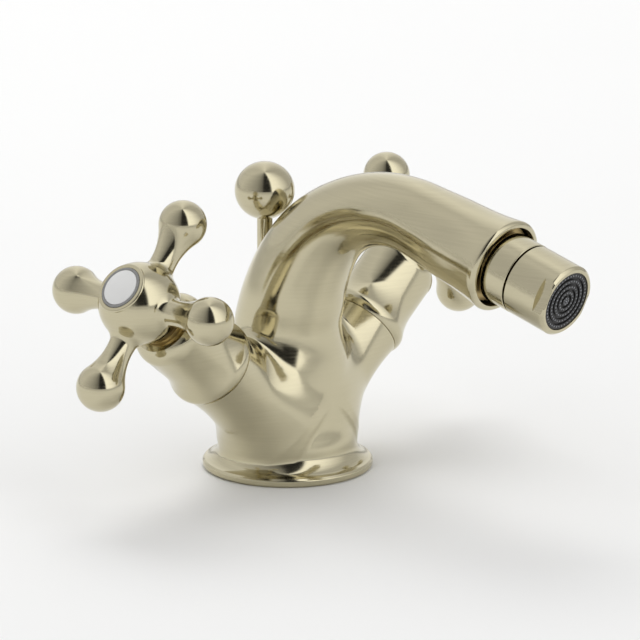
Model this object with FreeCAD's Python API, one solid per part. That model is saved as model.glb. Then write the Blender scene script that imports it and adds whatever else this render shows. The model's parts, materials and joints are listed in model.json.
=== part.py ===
import FreeCAD, Part
import math
import os
from FreeCAD import Placement, Rotation, Vector

# Deck-mounted bidet mixer with two cross handles, a swan-neck spout that ends in a swivel
# outlet, and a lift rod for the waste plug. Millimetres; the origin is the centre of the
# foot's underside, +Z is up, the spout points to -Y, hot is at -X and cold at +X.
#
# Each piece of a valve is drawn on its own axis: its stations count outwards from the point
# where the two valve axes cross. Each piece of the outlet is drawn on the outlet's axis: its
# stations count outwards from the spout's end face, so those inside the spout are negative.

# Clearances and the overrun of every cut
OVERRUN = 1.0
THREAD_GAP = 0.05
RUNNING_GAP = 0.05
DISC_GAP = 0.03
LOOSE_GAP = 0.2

# Foot
FOOT_RADIUS = 26.0
FOOT_RIM_HEIGHT = 2.6
FOOT_RIM_EDGE = 0.6
WAIST_RADIUS = 21.0
WAIST_HEIGHT = 8.0
GASKET_INSET = 1.7
GASKET_WIDTH = 2.8
GASKET_THICKNESS = 2.0

# Body above the waist: half depth and half width shares of the waist radius, at shares of
# the height between the waist and the neck
NECK_HEIGHT = 43.55
NECK_RADIUS_SHARE = 0.786
BODY_HEIGHT_SHARES = (0.17, 0.34, 0.54, 0.77)
BODY_DEPTH_SHARES = (0.952, 0.914, 0.876, 0.829)
BODY_WIDTH_SHARES = (0.995, 1.038, 1.024, 0.929)

# Swan-neck spout: one bend whose sections sit a little inside its arc, then a straight run
# that flares to the outlet's hood
BEND_RADIUS = 43.0
BEND_ANGLE = 105.3
BEND_ANGLE_SHARES = (0.115, 0.23, 0.345, 0.48, 0.615, 0.81, 1.0)
TUBE_RADIUS = 11.1
TUBE_RADIUS_SHARES = (1.43, 1.345, 1.26, 1.135, 1.03, 1.0, 1.03)
BEND_LEAN_SHARES = (0.11, 0.14, 0.126, 0.086, 0.06, 0.027, 0.0)
SPOUT_RUN = 33.1
RUN_LENGTH_SHARES = (0.36, 0.72)
RUN_RADIUS_SHARES = (1.1, 1.17)
HOOD_RADIUS = 14.3
HOOD_EDGE = 1.3
WATERWAY_RADIUS = 5.5
WATERWAY_FLOOR = 29.0
CROSSWAY_HEIGHT = 33.0
CROSSWAY_RADIUS = 3.0
CROSSWAY_REACH = 13.0

# Underside of the body: supply inlets and the fixing stud
INLET_SPACING = 25.0
INLET_THREAD_RADIUS = 4.5
INLET_THREAD_DEPTH = 12.0
INLET_DRILL_RADIUS = 3.2
INLET_DRILL_TOP = 27.0
STUD_OFFSET = 11.0
STUD_THREAD_RADIUS = 3.4
STUD_THREAD_DEPTH = 14.0

# Arms of the body that carry the valves
VALVE_TILT = 51.0
VALVE_CROSS_HEIGHT = 11.4
ARM_DEPTH_SHARE = 0.444
ARM_LEAST_STATION = 33.0
ARM_END_STATION = 41.6
ARM_LEAST_RADIUS = 12.4
ARM_ROOT_SHARE = 0.772
ARM_FILLET_SHARE = 0.34
VALVE_BORE_RADIUS = 9.6
VALVE_BORE_DEPTH = 23.0

# Ceramic headwork: its barrel in the arm, hexagon, neck and disc chamber
BARREL_RADIUS = 8.9
BARREL_LENGTH = 21.0
BARREL_THREAD_LENGTH = 8.6
HEXAGON_FLATS = 20.0
HEXAGON_HEIGHT = 4.6
HEADWORK_NECK_RADIUS = 7.1
HEADWORK_TOP_STATION = 69.8
CHAMBER_RADIUS = 8.0
CHAMBER_LENGTH = 10.8
WINDOW_WIDTH = 8.0
WINDOW_HEIGHT = 3.6
RING_GROOVE_LENGTH = 1.8
RING_GROOVE_DEPTH = 1.0
RING_GROOVE_DROP = 0.8
SEAT_SEAL_HEIGHT = 2.4
SEAT_SEAL_INNER_RADIUS = 4.2
DISC_RADIUS = 7.7
DISC_THICKNESS = 2.8
DISC_PORT_INNER_RADIUS = 1.6
DISC_PORT_OUTER_RADIUS = 5.6
DISC_PORT_ANGLE = 80.0

# Spindle with its tongue, O-ring, clip and screw
SPINDLE_RADIUS = 3.7
SPINDLE_FLANGE_RADIUS = 6.8
SPLINE_RADIUS = 3.5
SPLINE_SHOULDER_STATION = 70.6
SPINDLE_TOP_STATION = 82.5
TONGUE_WIDTH = 3.0
TONGUE_LENGTH = 11.0
TONGUE_DEPTH = 1.2
ORING_STATION = 55.0
ORING_LENGTH = 1.8
ORING_DEPTH = 1.1
CLIP_THICKNESS = 0.5
CLIP_RADIUS = 5.8
CLIP_DEPTH = 0.8
CLIP_MOUTH = 4.0
SCREW_RADIUS = 1.95
SCREW_LENGTH = 8.8
SCREW_HEAD_RADIUS = 3.9
SCREW_HEAD_HEIGHT = 2.6
SCREW_SLOT_WIDTH = 1.0
SCREW_SLOT_DEPTH = 1.2
SCREW_HOLE_DEPTH = 8.0

# Bonnet over the headwork
BONNET_BASE_RADIUS = 13.1
BONNET_BEAD_RADIUS = 13.75
BONNET_BEAD_HEIGHT = 4.0
BONNET_RADIUS = 11.75
BONNET_FLARE_HEIGHT = 12.0
BONNET_SHOULDER_HEIGHT = 21.6
BONNET_HEIGHT = 27.0
BONNET_TOP_RADIUS = 9.4
BONNET_WALL = 1.7
BONNET_TOP_WALL = 2.0
BONNET_SKIRT_HEIGHT = 5.0
BONNET_SKIRT_WALL = 1.2

# Cross handle: barrel-shaped hub with four ball-ended arms
HUB_BOTTOM_STATION = 73.0
HUB_TOP_STATION = 91.0
HUB_BOTTOM_RADIUS = 9.4
HUB_BOTTOM_EDGE = 0.5
HUB_BARREL_RADIUS = 12.1
HUB_BARREL_SHARE = 0.39
HUB_TOP_RADIUS = 8.0
HUB_TOP_EDGE = 0.6
HUB_HOLLOW_RADIUS = 8.4
HUB_HOLLOW_DEPTH = 1.2
HUB_SCREW_WALL = 1.6
HUB_COUNTERBORE_RADIUS = 4.6
HANDLE_ARM_STATION = 79.9
HANDLE_ARM_REACH = 27.4
HANDLE_BALL_RADIUS = 7.18
HANDLE_NECK_RADIUS = 3.9
HANDLE_NECK_SHARE = 0.545
HANDLE_ROOT_REACH = 7.2
HANDLE_ROOT_FILLET = 1.6
HANDLE_ARMS = 4

# Index button on the hub
INDEX_RADIUS = 6.5
INDEX_RING_WIDTH = 0.85
INDEX_SEAT_DEPTH = 1.6
INDEX_RING_RISE = 0.2
INDEX_DOME_RISE = 0.5
INDEX_PLUG_LENGTH = 1.8

# Lift rod for the waste plug
ROD_OFFSET = 9.3
ROD_RADIUS = 2.35
ROD_FOOT_HEIGHT = 1.0
ROD_LINK_RADIUS = 1.65
ROD_LINK_DEPTH = 8.0
ROD_STUD_RADIUS = 1.8
ROD_STUD_LENGTH = 6.0
ROD_TRAVEL = 21.0
ROD_CHAMBER_RADIUS = 3.9
ROD_BUSH_HEIGHT = 4.0
ROD_CLIP_THICKNESS = 0.8
ROD_CLIP_RADIUS = 3.6
ROD_CLIP_DEPTH = 0.6
ROD_CLIP_MOUTH = 2.6
KNOB_GAP = 1.6
KNOB_RADIUS = 9.1
KNOB_HALF_HEIGHT = 8.8
KNOB_FLAT_RADIUS = 2.8

# Swivel outlet in the spout's end
MOUTH_RADIUS = 12.35
MOUTH_DEPTH = 4.0
SOCKET_RADIUS = 10.6
SOCKET_DEPTH = 15.5
PIVOT_DEPTH = 7.5
BALL_RADIUS = 8.6
BALL_BORE_RADIUS = 4.6
SEAT_BORE_RADIUS = 5.2
SEAT_FRONT_DEPTH = 9.5
BALL_SEAL_LENGTH = 1.2
RETAINER_FLANGE = 1.0
RETAINER_FLANGE_RADIUS = 11.8
STEM_RADIUS = 5.8
STEM_END = 5.0
COLLAR_RADIUS = 10.75
COLLAR_BACK_DEPTH = 1.0
COLLAR_BACK_EDGE = 1.2
COLLAR_FRONT = 8.3
COLLAR_STUB_RADIUS = 9.3
COLLAR_STUB_END = 14.0
COLLAR_CHAMBER_RADIUS = 7.4

# Aerator in its screw-on housing
HOUSING_RADIUS = 10.7
HOUSING_BACK = 8.9
HOUSING_FRONT = 23.7
HOUSING_CHAMFER = 0.8
HOUSING_STEP = 16.2
AERATOR_RADIUS = 8.9
AERATOR_FLANGE_RADIUS = 9.3
AERATOR_FLANGE = 1.2
AERATOR_FACE_RECESS = 0.3
AERATOR_GROOVES = 4
AERATOR_GROOVE_WIDTH = 0.7
AERATOR_GROOVE_DEPTH = 0.5
WRENCH_FLAT_DISTANCE = 9.4
WRENCH_FLAT_LENGTH = 3.6
WRENCH_FLAT_TURN = -15.0
SCREEN_THICKNESS = 0.6

# Stations and heights that follow from the sizes above
GASKET_OUTER_RADIUS = FOOT_RADIUS - GASKET_INSET
GASKET_INNER_RADIUS = GASKET_OUTER_RADIUS - GASKET_WIDTH
NECK_RADIUS = NECK_RADIUS_SHARE * WAIST_RADIUS
ARM_ROOT_RADIUS = ARM_ROOT_SHARE * WAIST_RADIUS
ARM_BURIED_LENGTH = WAIST_RADIUS / math.sin(math.radians(VALVE_TILT))
ARM_ROOT_STATION = ARM_DEPTH_SHARE * ARM_BURIED_LENGTH
ARM_FREE_LENGTH = ARM_END_STATION - ARM_BURIED_LENGTH
ARM_FILLET = ARM_FILLET_SHARE * ARM_FREE_LENGTH
VALVE_FLOOR = ARM_END_STATION - VALVE_BORE_DEPTH
BARREL_BOTTOM = ARM_END_STATION - BARREL_LENGTH
CHAMBER_TOP = BARREL_BOTTOM + CHAMBER_LENGTH
FIXED_DISC_BOTTOM = VALVE_FLOOR + SEAT_SEAL_HEIGHT
MOVING_DISC_BOTTOM = FIXED_DISC_BOTTOM + DISC_THICKNESS + DISC_GAP
SPINDLE_BOTTOM = MOVING_DISC_BOTTOM + DISC_THICKNESS
CLIP_STATION = HEADWORK_TOP_STATION + LOOSE_GAP
INDEX_SEAT = HUB_TOP_STATION - INDEX_SEAT_DEPTH
HANDLE_NECK_REACH = HANDLE_NECK_SHARE * HANDLE_ARM_REACH
HUB_HOLLOW_TOP = HUB_BOTTOM_STATION + HUB_HOLLOW_DEPTH
SCREW_SEAT = SPINDLE_TOP_STATION + LOOSE_GAP + HUB_SCREW_WALL
ROD_CLIP_BOTTOM = ROD_BUSH_HEIGHT + ROD_FOOT_HEIGHT
ROD_CHAMBER_TOP = ROD_CLIP_BOTTOM + ROD_CLIP_THICKNESS + ROD_TRAVEL + LOOSE_GAP
BEND_OUTER_RADIUS = BEND_RADIUS + TUBE_RADIUS * (TUBE_RADIUS_SHARES[2] - BEND_LEAN_SHARES[2])
KNOB_REACH = BEND_OUTER_RADIUS + KNOB_GAP + KNOB_RADIUS
KNOB_HEIGHT = NECK_HEIGHT + math.sqrt(KNOB_REACH ** 2 - (BEND_RADIUS + ROD_OFFSET) ** 2)
KNOB_FLAT_DROP = KNOB_HALF_HEIGHT * math.sqrt(1 - (KNOB_FLAT_RADIUS / KNOB_RADIUS) ** 2)
KNOB_BOTTOM = KNOB_HEIGHT - KNOB_FLAT_DROP
BEND_TURN = math.radians(BEND_ANGLE)


def turned(*steps):
    """Solid of revolution about +Z from (radius, height) steps; a third value marks an arc's middle."""
    edges = []
    middle = None
    last = Vector(steps[0][0], 0, steps[0][1])
    for step in steps[1:] + steps[:1]:
        point = Vector(step[0], 0, step[1])
        if len(step) > 2:
            middle = point
            continue
        if middle:
            edges.append(Part.Arc(last, middle, point).toShape())
        else:
            edges.append(Part.LineSegment(last, point).toShape())
        last = point
        middle = None
    return Part.Face(Part.Wire(edges)).revolve(Vector(0, 0, 0), Vector(0, 0, 1), 360)


def tube(inner, outer, bottom, top):
    """Plain ring about +Z."""
    return turned((inner, bottom), (outer, bottom), (outer, top), (inner, top))


def rod(radius, bottom, top):
    """Plain cylinder about +Z."""
    return Part.makeCylinder(radius, top - bottom, Vector(0, 0, bottom))


def block(width, depth, bottom, top):
    """Box centred on +Z."""
    return Part.makeBox(width, depth, top - bottom, Vector(-width / 2, -depth / 2, bottom))


def arc_middle(start, end, radius):
    """Middle of the arc that bulges towards the axis between two (radius, height) points."""
    chord = math.dist(start, end)
    sagitta = radius - math.sqrt(radius ** 2 - chord ** 2 / 4)
    lean = ((end[1] - start[1]) / chord, (end[0] - start[0]) / chord)
    middle = ((start[0] + end[0]) / 2, (start[1] + end[1]) / 2)
    return (middle[0] - sagitta * abs(lean[0]), middle[1] - sagitta * abs(lean[1]), "arc")


def at_valve(shape, side):
    """Copy of a valve piece on the hot (-1) or cold (+1) valve axis."""
    placed = shape.copy()
    lean = Rotation(Vector(0, 1, 0), side * VALVE_TILT)
    placed.Placement = Placement(Vector(0, 0, VALVE_CROSS_HEIGHT), lean).multiply(shape.Placement)
    return placed


def bend_point(turn, lean=0):
    """Point after a turn in radians, on the bend's arc or a little inside it."""
    reach = BEND_RADIUS - lean
    return Vector(0, reach * math.cos(turn) - BEND_RADIUS, NECK_HEIGHT + reach * math.sin(turn))


def run_point(distance):
    """Point of the straight run's centreline at a distance from the bend."""
    return bend_point(BEND_TURN) + Vector(0, -math.sin(BEND_TURN), math.cos(BEND_TURN)) * distance


def at_outlet(shape):
    """Outlet piece moved from its own axis to the spout's end face."""
    placed = shape.copy()
    outlet = Placement(run_point(SPOUT_RUN), Rotation(Vector(1, 0, 0), BEND_ANGLE))
    placed.Placement = outlet.multiply(shape.Placement)
    return placed


def at_rod(shape):
    """Lift rod piece moved from the origin to the rod's axis."""
    placed = shape.copy()
    placed.Placement = Placement(Vector(0, ROD_OFFSET, 0), Rotation()).multiply(shape.Placement)
    return placed


def section(centre, lean, depth, width):
    """Round or oval section of the body and spout, with its seam at the back."""
    if width > depth:
        oval = Part.Ellipse(Vector(0, 0, 0), width, depth)
        edge = Part.ArcOfEllipse(oval, math.pi / 2, 5 * math.pi / 2).toShape()
    else:
        edge = Part.Circle(Vector(0, 0, 0), Vector(0, 0, 1), depth).toShape()
        edge.rotate(Vector(0, 0, 0), Vector(0, 0, 1), 90)
    wire = Part.Wire([edge])
    wire.Placement = Placement(centre, Rotation(Vector(1, 0, 0), lean)).multiply(wire.Placement)
    return wire


def foot():
    """Round foot with a rim band and a hollow flare up to the waist."""
    rim = FOOT_RADIUS - FOOT_RIM_EDGE
    rise = WAIST_HEIGHT - FOOT_RIM_HEIGHT
    flare = ((rim - WAIST_RADIUS) ** 2 + rise ** 2) / (2 * (rim - WAIST_RADIUS))
    half = math.asin(rise / flare) / 2
    shape = turned(
        (0, 0), (rim, 0), (FOOT_RADIUS, FOOT_RIM_EDGE),
        (FOOT_RADIUS, FOOT_RIM_HEIGHT - FOOT_RIM_EDGE), (rim, FOOT_RIM_HEIGHT),
        (WAIST_RADIUS + flare * (1 - math.cos(half)), WAIST_HEIGHT - flare * math.sin(half), "arc"),
        (WAIST_RADIUS, WAIST_HEIGHT), (0, WAIST_HEIGHT))
    shape.rotate(Vector(0, 0, 0), Vector(0, 0, 1), 90)
    return shape


def swan_neck():
    """Body and spout above the waist, one loft from the waist to the hood."""
    sections = [section(Vector(0, 0, WAIST_HEIGHT), 0, WAIST_RADIUS, WAIST_RADIUS)]
    for height, depth, width in zip(BODY_HEIGHT_SHARES, BODY_DEPTH_SHARES, BODY_WIDTH_SHARES):
        level = WAIST_HEIGHT + height * (NECK_HEIGHT - WAIST_HEIGHT)
        sections.append(section(Vector(0, 0, level), 0, depth * WAIST_RADIUS, width * WAIST_RADIUS))
    sections.append(section(Vector(0, 0, NECK_HEIGHT), 0, NECK_RADIUS, NECK_RADIUS))
    for turn, girth, lean in zip(BEND_ANGLE_SHARES, TUBE_RADIUS_SHARES, BEND_LEAN_SHARES):
        radius = girth * TUBE_RADIUS
        centre = bend_point(turn * BEND_TURN, lean * TUBE_RADIUS)
        sections.append(section(centre, turn * BEND_ANGLE, radius, radius))
    for length, girth in zip(RUN_LENGTH_SHARES, RUN_RADIUS_SHARES):
        radius = girth * TUBE_RADIUS
        sections.append(section(run_point(length * SPOUT_RUN), BEND_ANGLE, radius, radius))
    sections.append(section(run_point(SPOUT_RUN), BEND_ANGLE, HOOD_RADIUS, HOOD_RADIUS))
    shape = Part.makeLoft(sections, True, False)
    rim = [edge for edge in shape.Edges if edge.isClosed() and edge.BoundBox.YMax < bend_point(BEND_TURN).y]
    return shape.makeFillet(HOOD_EDGE, rim)


def valve_arm():
    """Arm that carries one valve, waisted by one arc that starts inside the body."""
    rise = ARM_ROOT_RADIUS - ARM_LEAST_RADIUS
    curve = ((ARM_LEAST_STATION - ARM_ROOT_STATION) ** 2 + rise ** 2) / (2 * rise)
    drop = math.sqrt(curve ** 2 - (ARM_END_STATION - ARM_LEAST_STATION) ** 2)
    return turned(
        (0, ARM_ROOT_STATION), (ARM_ROOT_RADIUS, ARM_ROOT_STATION),
        (ARM_LEAST_RADIUS, ARM_LEAST_STATION, "arc"),
        (ARM_LEAST_RADIUS + curve - drop, ARM_END_STATION), (0, ARM_END_STATION))


def crease_edges(shape):
    """Closed edges where the two arms leave the body."""
    creases = []
    for edge in shape.Edges:
        one_sided = edge.BoundBox.XMin * edge.BoundBox.XMax > 0
        if edge.isClosed() and one_sided and not isinstance(edge.Curve, Part.Circle):
            creases.append(edge)
    return creases


def waterways():
    """Hollows of the casting: inlets, stud hole, valve bores, spout and rod passage."""
    hollows = []
    start = Vector(0, 0, WATERWAY_FLOOR)
    path = Part.Wire([
        Part.LineSegment(start, bend_point(0)).toShape(),
        Part.Arc(bend_point(0), bend_point(BEND_TURN / 2), bend_point(BEND_TURN)).toShape(),
        Part.LineSegment(bend_point(BEND_TURN), run_point(SPOUT_RUN)).toShape()])
    hollows.append(path.makePipeShell([section(start, 0, WATERWAY_RADIUS, WATERWAY_RADIUS)], True, True))
    crossway = Vector(-CROSSWAY_REACH, 0, CROSSWAY_HEIGHT)
    hollows.append(Part.makeCylinder(CROSSWAY_RADIUS, 2 * CROSSWAY_REACH, crossway, Vector(1, 0, 0)))
    for side in (-1, 1):
        inlet = rod(INLET_THREAD_RADIUS, -OVERRUN, INLET_THREAD_DEPTH)
        inlet = inlet.fuse(rod(INLET_DRILL_RADIUS, -OVERRUN, INLET_DRILL_TOP))
        inlet.translate(Vector(side * INLET_SPACING / 2, 0, 0))
        hollows.append(inlet)
        hollows.append(at_valve(rod(VALVE_BORE_RADIUS, VALVE_FLOOR, ARM_END_STATION + OVERRUN), side))
    stud = rod(STUD_THREAD_RADIUS, -OVERRUN, STUD_THREAD_DEPTH)
    stud.translate(Vector(0, -STUD_OFFSET, 0))
    hollows.append(stud)
    hollows.append(at_rod(rod(ROD_CHAMBER_RADIUS, -OVERRUN, ROD_CHAMBER_TOP)))
    hollows.append(at_rod(rod(ROD_RADIUS + RUNNING_GAP, 0, KNOB_BOTTOM)))
    groove_inner = GASKET_INNER_RADIUS - THREAD_GAP
    groove_outer = GASKET_OUTER_RADIUS + THREAD_GAP
    hollows.append(tube(groove_inner, groove_outer, -OVERRUN, GASKET_THICKNESS))
    mouth = rod(MOUTH_RADIUS, -MOUTH_DEPTH, OVERRUN)
    hollows.append(at_outlet(mouth.fuse(rod(SOCKET_RADIUS, -SOCKET_DEPTH, OVERRUN))))
    return hollows


def body_casting():
    """Foot, body, arms and spout as one hollow casting."""
    shape = foot().fuse(swan_neck())
    shape = shape.fuse([at_valve(valve_arm(), side) for side in (-1, 1)])
    shape = shape.makeFillet(ARM_FILLET, crease_edges(shape))
    shape = shape.cut(waterways())
    return shape


def base_gasket():
    """Rubber ring in the groove of the foot's underside."""
    return tube(GASKET_INNER_RADIUS, GASKET_OUTER_RADIUS, 0, GASKET_THICKNESS)


def headwork():
    """Brass body of a ceramic valve, screwed into the arm by its hexagon."""
    thread = VALVE_BORE_RADIUS - THREAD_GAP
    thread_bottom = ARM_END_STATION - BARREL_THREAD_LENGTH
    shape = turned(
        (0, BARREL_BOTTOM), (BARREL_RADIUS, BARREL_BOTTOM), (BARREL_RADIUS, thread_bottom),
        (thread, thread_bottom), (thread, ARM_END_STATION), (0, ARM_END_STATION))
    corner = HEXAGON_FLATS / math.sqrt(3)
    corners = []
    for turn in range(7):
        angle = math.radians(60 * turn)
        corners.append(Vector(corner * math.cos(angle), corner * math.sin(angle), ARM_END_STATION))
    hexagon = Part.Face(Part.makePolygon(corners)).extrude(Vector(0, 0, HEXAGON_HEIGHT))
    shape = shape.fuse([hexagon, rod(HEADWORK_NECK_RADIUS, ARM_END_STATION, HEADWORK_TOP_STATION)])
    groove_top = ARM_END_STATION - RING_GROOVE_DROP
    groove_bottom = groove_top - RING_GROOVE_LENGTH
    window_top = CHAMBER_TOP - LOOSE_GAP
    hollows = [
        rod(CHAMBER_RADIUS, BARREL_BOTTOM - OVERRUN, CHAMBER_TOP),
        rod(SPINDLE_RADIUS + RUNNING_GAP, CHAMBER_TOP, HEADWORK_TOP_STATION + OVERRUN),
        tube(thread - RING_GROOVE_DEPTH, VALVE_BORE_RADIUS + OVERRUN, groove_bottom, groove_top),
        block(VALVE_BORE_RADIUS * 2 + OVERRUN, WINDOW_WIDTH, window_top - WINDOW_HEIGHT, window_top)]
    return shape.cut(hollows).removeSplitter()


def headwork_seal():
    """Rubber ring that seals the headwork in the arm's bore."""
    top = ARM_END_STATION - RING_GROOVE_DROP
    outer = VALVE_BORE_RADIUS - THREAD_GAP
    return tube(outer - RING_GROOVE_DEPTH, outer, top - RING_GROOVE_LENGTH, top)


def seat_seal():
    """Rubber ring between the bore's floor and the fixed disc."""
    return tube(SEAT_SEAL_INNER_RADIUS, DISC_RADIUS, VALVE_FLOOR, FIXED_DISC_BOTTOM)


def disc_ports(bottom, top, turn):
    """Two opposite sector ports of a ceramic disc."""
    ports = []
    for half in (0, 180):
        profile = [
            Vector(DISC_PORT_INNER_RADIUS, 0, bottom), Vector(DISC_PORT_OUTER_RADIUS, 0, bottom),
            Vector(DISC_PORT_OUTER_RADIUS, 0, top), Vector(DISC_PORT_INNER_RADIUS, 0, top)]
        face = Part.Face(Part.makePolygon(profile + profile[:1]))
        port = face.revolve(Vector(0, 0, 0), Vector(0, 0, 1), DISC_PORT_ANGLE)
        port.rotate(Vector(0, 0, 0), Vector(0, 0, 1), turn + half - DISC_PORT_ANGLE / 2)
        ports.append(port)
    return ports


def fixed_disc():
    """Ceramic disc that stays still, with its ports along the arm's plane."""
    top = FIXED_DISC_BOTTOM + DISC_THICKNESS
    shape = rod(DISC_RADIUS, FIXED_DISC_BOTTOM, top)
    return shape.cut(disc_ports(FIXED_DISC_BOTTOM - OVERRUN, top + OVERRUN, 0))


def moving_disc():
    """Ceramic disc that turns with the spindle, closed a quarter turn from the fixed ports."""
    top = MOVING_DISC_BOTTOM + DISC_THICKNESS
    shape = rod(DISC_RADIUS, MOVING_DISC_BOTTOM, top)
    slot_length = TONGUE_LENGTH + 2 * THREAD_GAP
    slot_width = TONGUE_WIDTH + 2 * THREAD_GAP
    slot = block(slot_length, slot_width, top - TONGUE_DEPTH, top + OVERRUN)
    return shape.cut(disc_ports(MOVING_DISC_BOTTOM - OVERRUN, top + OVERRUN, 90) + [slot])


def spindle():
    """Brass spindle from the moving disc to the handle."""
    flange_top = CHAMBER_TOP - LOOSE_GAP
    shape = turned(
        (0, SPINDLE_BOTTOM), (SPINDLE_FLANGE_RADIUS, SPINDLE_BOTTOM), (SPINDLE_FLANGE_RADIUS, flange_top),
        (SPINDLE_RADIUS, flange_top), (SPINDLE_RADIUS, SPLINE_SHOULDER_STATION),
        (SPLINE_RADIUS, SPLINE_SHOULDER_STATION), (SPLINE_RADIUS, SPINDLE_TOP_STATION),
        (0, SPINDLE_TOP_STATION))
    shape = shape.fuse(block(TONGUE_LENGTH, TONGUE_WIDTH, SPINDLE_BOTTOM - TONGUE_DEPTH, SPINDLE_BOTTOM))
    beyond = SPINDLE_RADIUS + OVERRUN
    hollows = [
        tube(SPINDLE_RADIUS - ORING_DEPTH, beyond, ORING_STATION, ORING_STATION + ORING_LENGTH),
        tube(SPINDLE_RADIUS - CLIP_DEPTH, beyond, CLIP_STATION, CLIP_STATION + CLIP_THICKNESS),
        rod(SCREW_RADIUS + THREAD_GAP, SPINDLE_TOP_STATION - SCREW_HOLE_DEPTH, SPINDLE_TOP_STATION + OVERRUN)]
    return shape.cut(hollows)


def spindle_oring():
    """Rubber ring in the spindle's groove."""
    inner = SPINDLE_RADIUS - ORING_DEPTH
    return tube(inner, SPINDLE_RADIUS, ORING_STATION, ORING_STATION + ORING_LENGTH)


def spindle_clip():
    """Open spring clip that keeps the spindle in the headwork."""
    top = CLIP_STATION + CLIP_THICKNESS
    ring = tube(SPINDLE_RADIUS - CLIP_DEPTH, CLIP_RADIUS, CLIP_STATION, top)
    mouth = block(CLIP_MOUTH, CLIP_RADIUS + OVERRUN, CLIP_STATION - OVERRUN, top + OVERRUN)
    mouth.translate(Vector(0, (CLIP_RADIUS + OVERRUN) / 2, 0))
    return ring.cut(mouth)


def bonnet():
    """Turned cover of the headwork, with a bead at its foot and a rounded shoulder."""
    base = ARM_END_STATION
    bead_top = base + BONNET_BEAD_HEIGHT
    flare_top = base + BONNET_FLARE_HEIGHT
    shoulder = base + BONNET_SHOULDER_HEIGHT
    top = base + BONNET_HEIGHT
    bore = BONNET_RADIUS - BONNET_WALL
    skirt = base + BONNET_SKIRT_HEIGHT
    rise = top - shoulder
    inset = BONNET_RADIUS - BONNET_TOP_RADIUS
    bead_end = (BONNET_BASE_RADIUS + BONNET_BEAD_RADIUS) / 2
    hole = HEADWORK_NECK_RADIUS + THREAD_GAP
    swell = bead_end - BONNET_RADIUS
    flare_radius = (swell ** 2 + (flare_top - bead_top) ** 2) / (2 * swell)
    flare = arc_middle((bead_end, bead_top), (BONNET_RADIUS, flare_top), flare_radius)
    half = math.sqrt(0.5)
    return turned(
        (BONNET_BASE_RADIUS, base), (BONNET_BEAD_RADIUS, base + BONNET_BEAD_HEIGHT / 2, "arc"),
        (bead_end, bead_top), flare, (BONNET_RADIUS, flare_top), (BONNET_RADIUS, shoulder),
        (BONNET_TOP_RADIUS + inset * half, shoulder + rise * half, "arc"), (BONNET_TOP_RADIUS, top),
        (hole, top), (hole, top - BONNET_TOP_WALL), (bore, top - BONNET_TOP_WALL), (bore, skirt),
        (BONNET_BASE_RADIUS - BONNET_SKIRT_WALL, skirt), (BONNET_BASE_RADIUS - BONNET_SKIRT_WALL, base))


def handle_hub():
    """Barrel-shaped hub with its hollow, spline bore, screw seat and index seat."""
    low = HUB_BOTTOM_STATION + HUB_BOTTOM_EDGE
    edge = HUB_TOP_STATION - HUB_TOP_EDGE
    barrel = low + HUB_BARREL_SHARE * (edge - low)
    spline = SPLINE_RADIUS + THREAD_GAP
    screw = SCREW_RADIUS + LOOSE_GAP
    return turned(
        (HUB_HOLLOW_RADIUS, HUB_BOTTOM_STATION), (HUB_BOTTOM_RADIUS - HUB_BOTTOM_EDGE, HUB_BOTTOM_STATION),
        (HUB_BOTTOM_RADIUS, low), (HUB_BARREL_RADIUS, barrel, "arc"), (HUB_TOP_RADIUS, edge),
        (HUB_TOP_RADIUS - HUB_TOP_EDGE, HUB_TOP_STATION), (INDEX_RADIUS + THREAD_GAP, HUB_TOP_STATION),
        (INDEX_RADIUS + THREAD_GAP, INDEX_SEAT), (HUB_COUNTERBORE_RADIUS, INDEX_SEAT),
        (HUB_COUNTERBORE_RADIUS, SCREW_SEAT), (screw, SCREW_SEAT), (screw, SPINDLE_TOP_STATION + LOOSE_GAP),
        (spline, SPINDLE_TOP_STATION + LOOSE_GAP), (spline, HUB_HOLLOW_TOP),
        (HUB_HOLLOW_RADIUS, HUB_HOLLOW_TOP))


def handle_arm():
    """Ball-ended arm, drawn along +Z from the hub's axis."""
    gap = HANDLE_ARM_REACH - HANDLE_NECK_REACH
    sweep = (gap ** 2 + HANDLE_NECK_RADIUS ** 2 - HANDLE_BALL_RADIUS ** 2) / (
        2 * (HANDLE_BALL_RADIUS - HANDLE_NECK_RADIUS))
    root = HANDLE_NECK_RADIUS + sweep - math.sqrt(sweep ** 2 - (HANDLE_NECK_REACH - HANDLE_ROOT_REACH) ** 2)
    share = HANDLE_BALL_RADIUS / (HANDLE_BALL_RADIUS + sweep)
    touch = (share * (HANDLE_NECK_RADIUS + sweep), HANDLE_ARM_REACH - share * gap)
    return turned(
        (0, HANDLE_ROOT_REACH), (root, HANDLE_ROOT_REACH),
        (HANDLE_NECK_RADIUS, HANDLE_NECK_REACH, "arc"), touch,
        (HANDLE_BALL_RADIUS, HANDLE_ARM_REACH, "arc"), (0, HANDLE_ARM_REACH + HANDLE_BALL_RADIUS))


def root_edges(shape):
    """Closed edges where the arms leave the hub."""
    roots = []
    for edge in shape.Edges:
        box = edge.BoundBox
        away = math.hypot(box.Center.x, box.Center.y)
        tall = box.ZLength > HANDLE_NECK_RADIUS
        if edge.isClosed() and tall and HANDLE_ROOT_REACH < away < HANDLE_NECK_REACH:
            roots.append(edge)
    return roots


def handle():
    """One-piece cross handle."""
    arms = []
    for turn in range(HANDLE_ARMS):
        arm = handle_arm()
        arm.rotate(Vector(0, 0, 0), Vector(0, 1, 0), 90)
        arm.rotate(Vector(0, 0, 0), Vector(0, 0, 1), 360 / HANDLE_ARMS * turn)
        arm.translate(Vector(0, 0, HANDLE_ARM_STATION))
        arms.append(arm)
    shape = handle_hub().fuse(arms)
    return shape.makeFillet(HANDLE_ROOT_FILLET, root_edges(shape))


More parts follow.
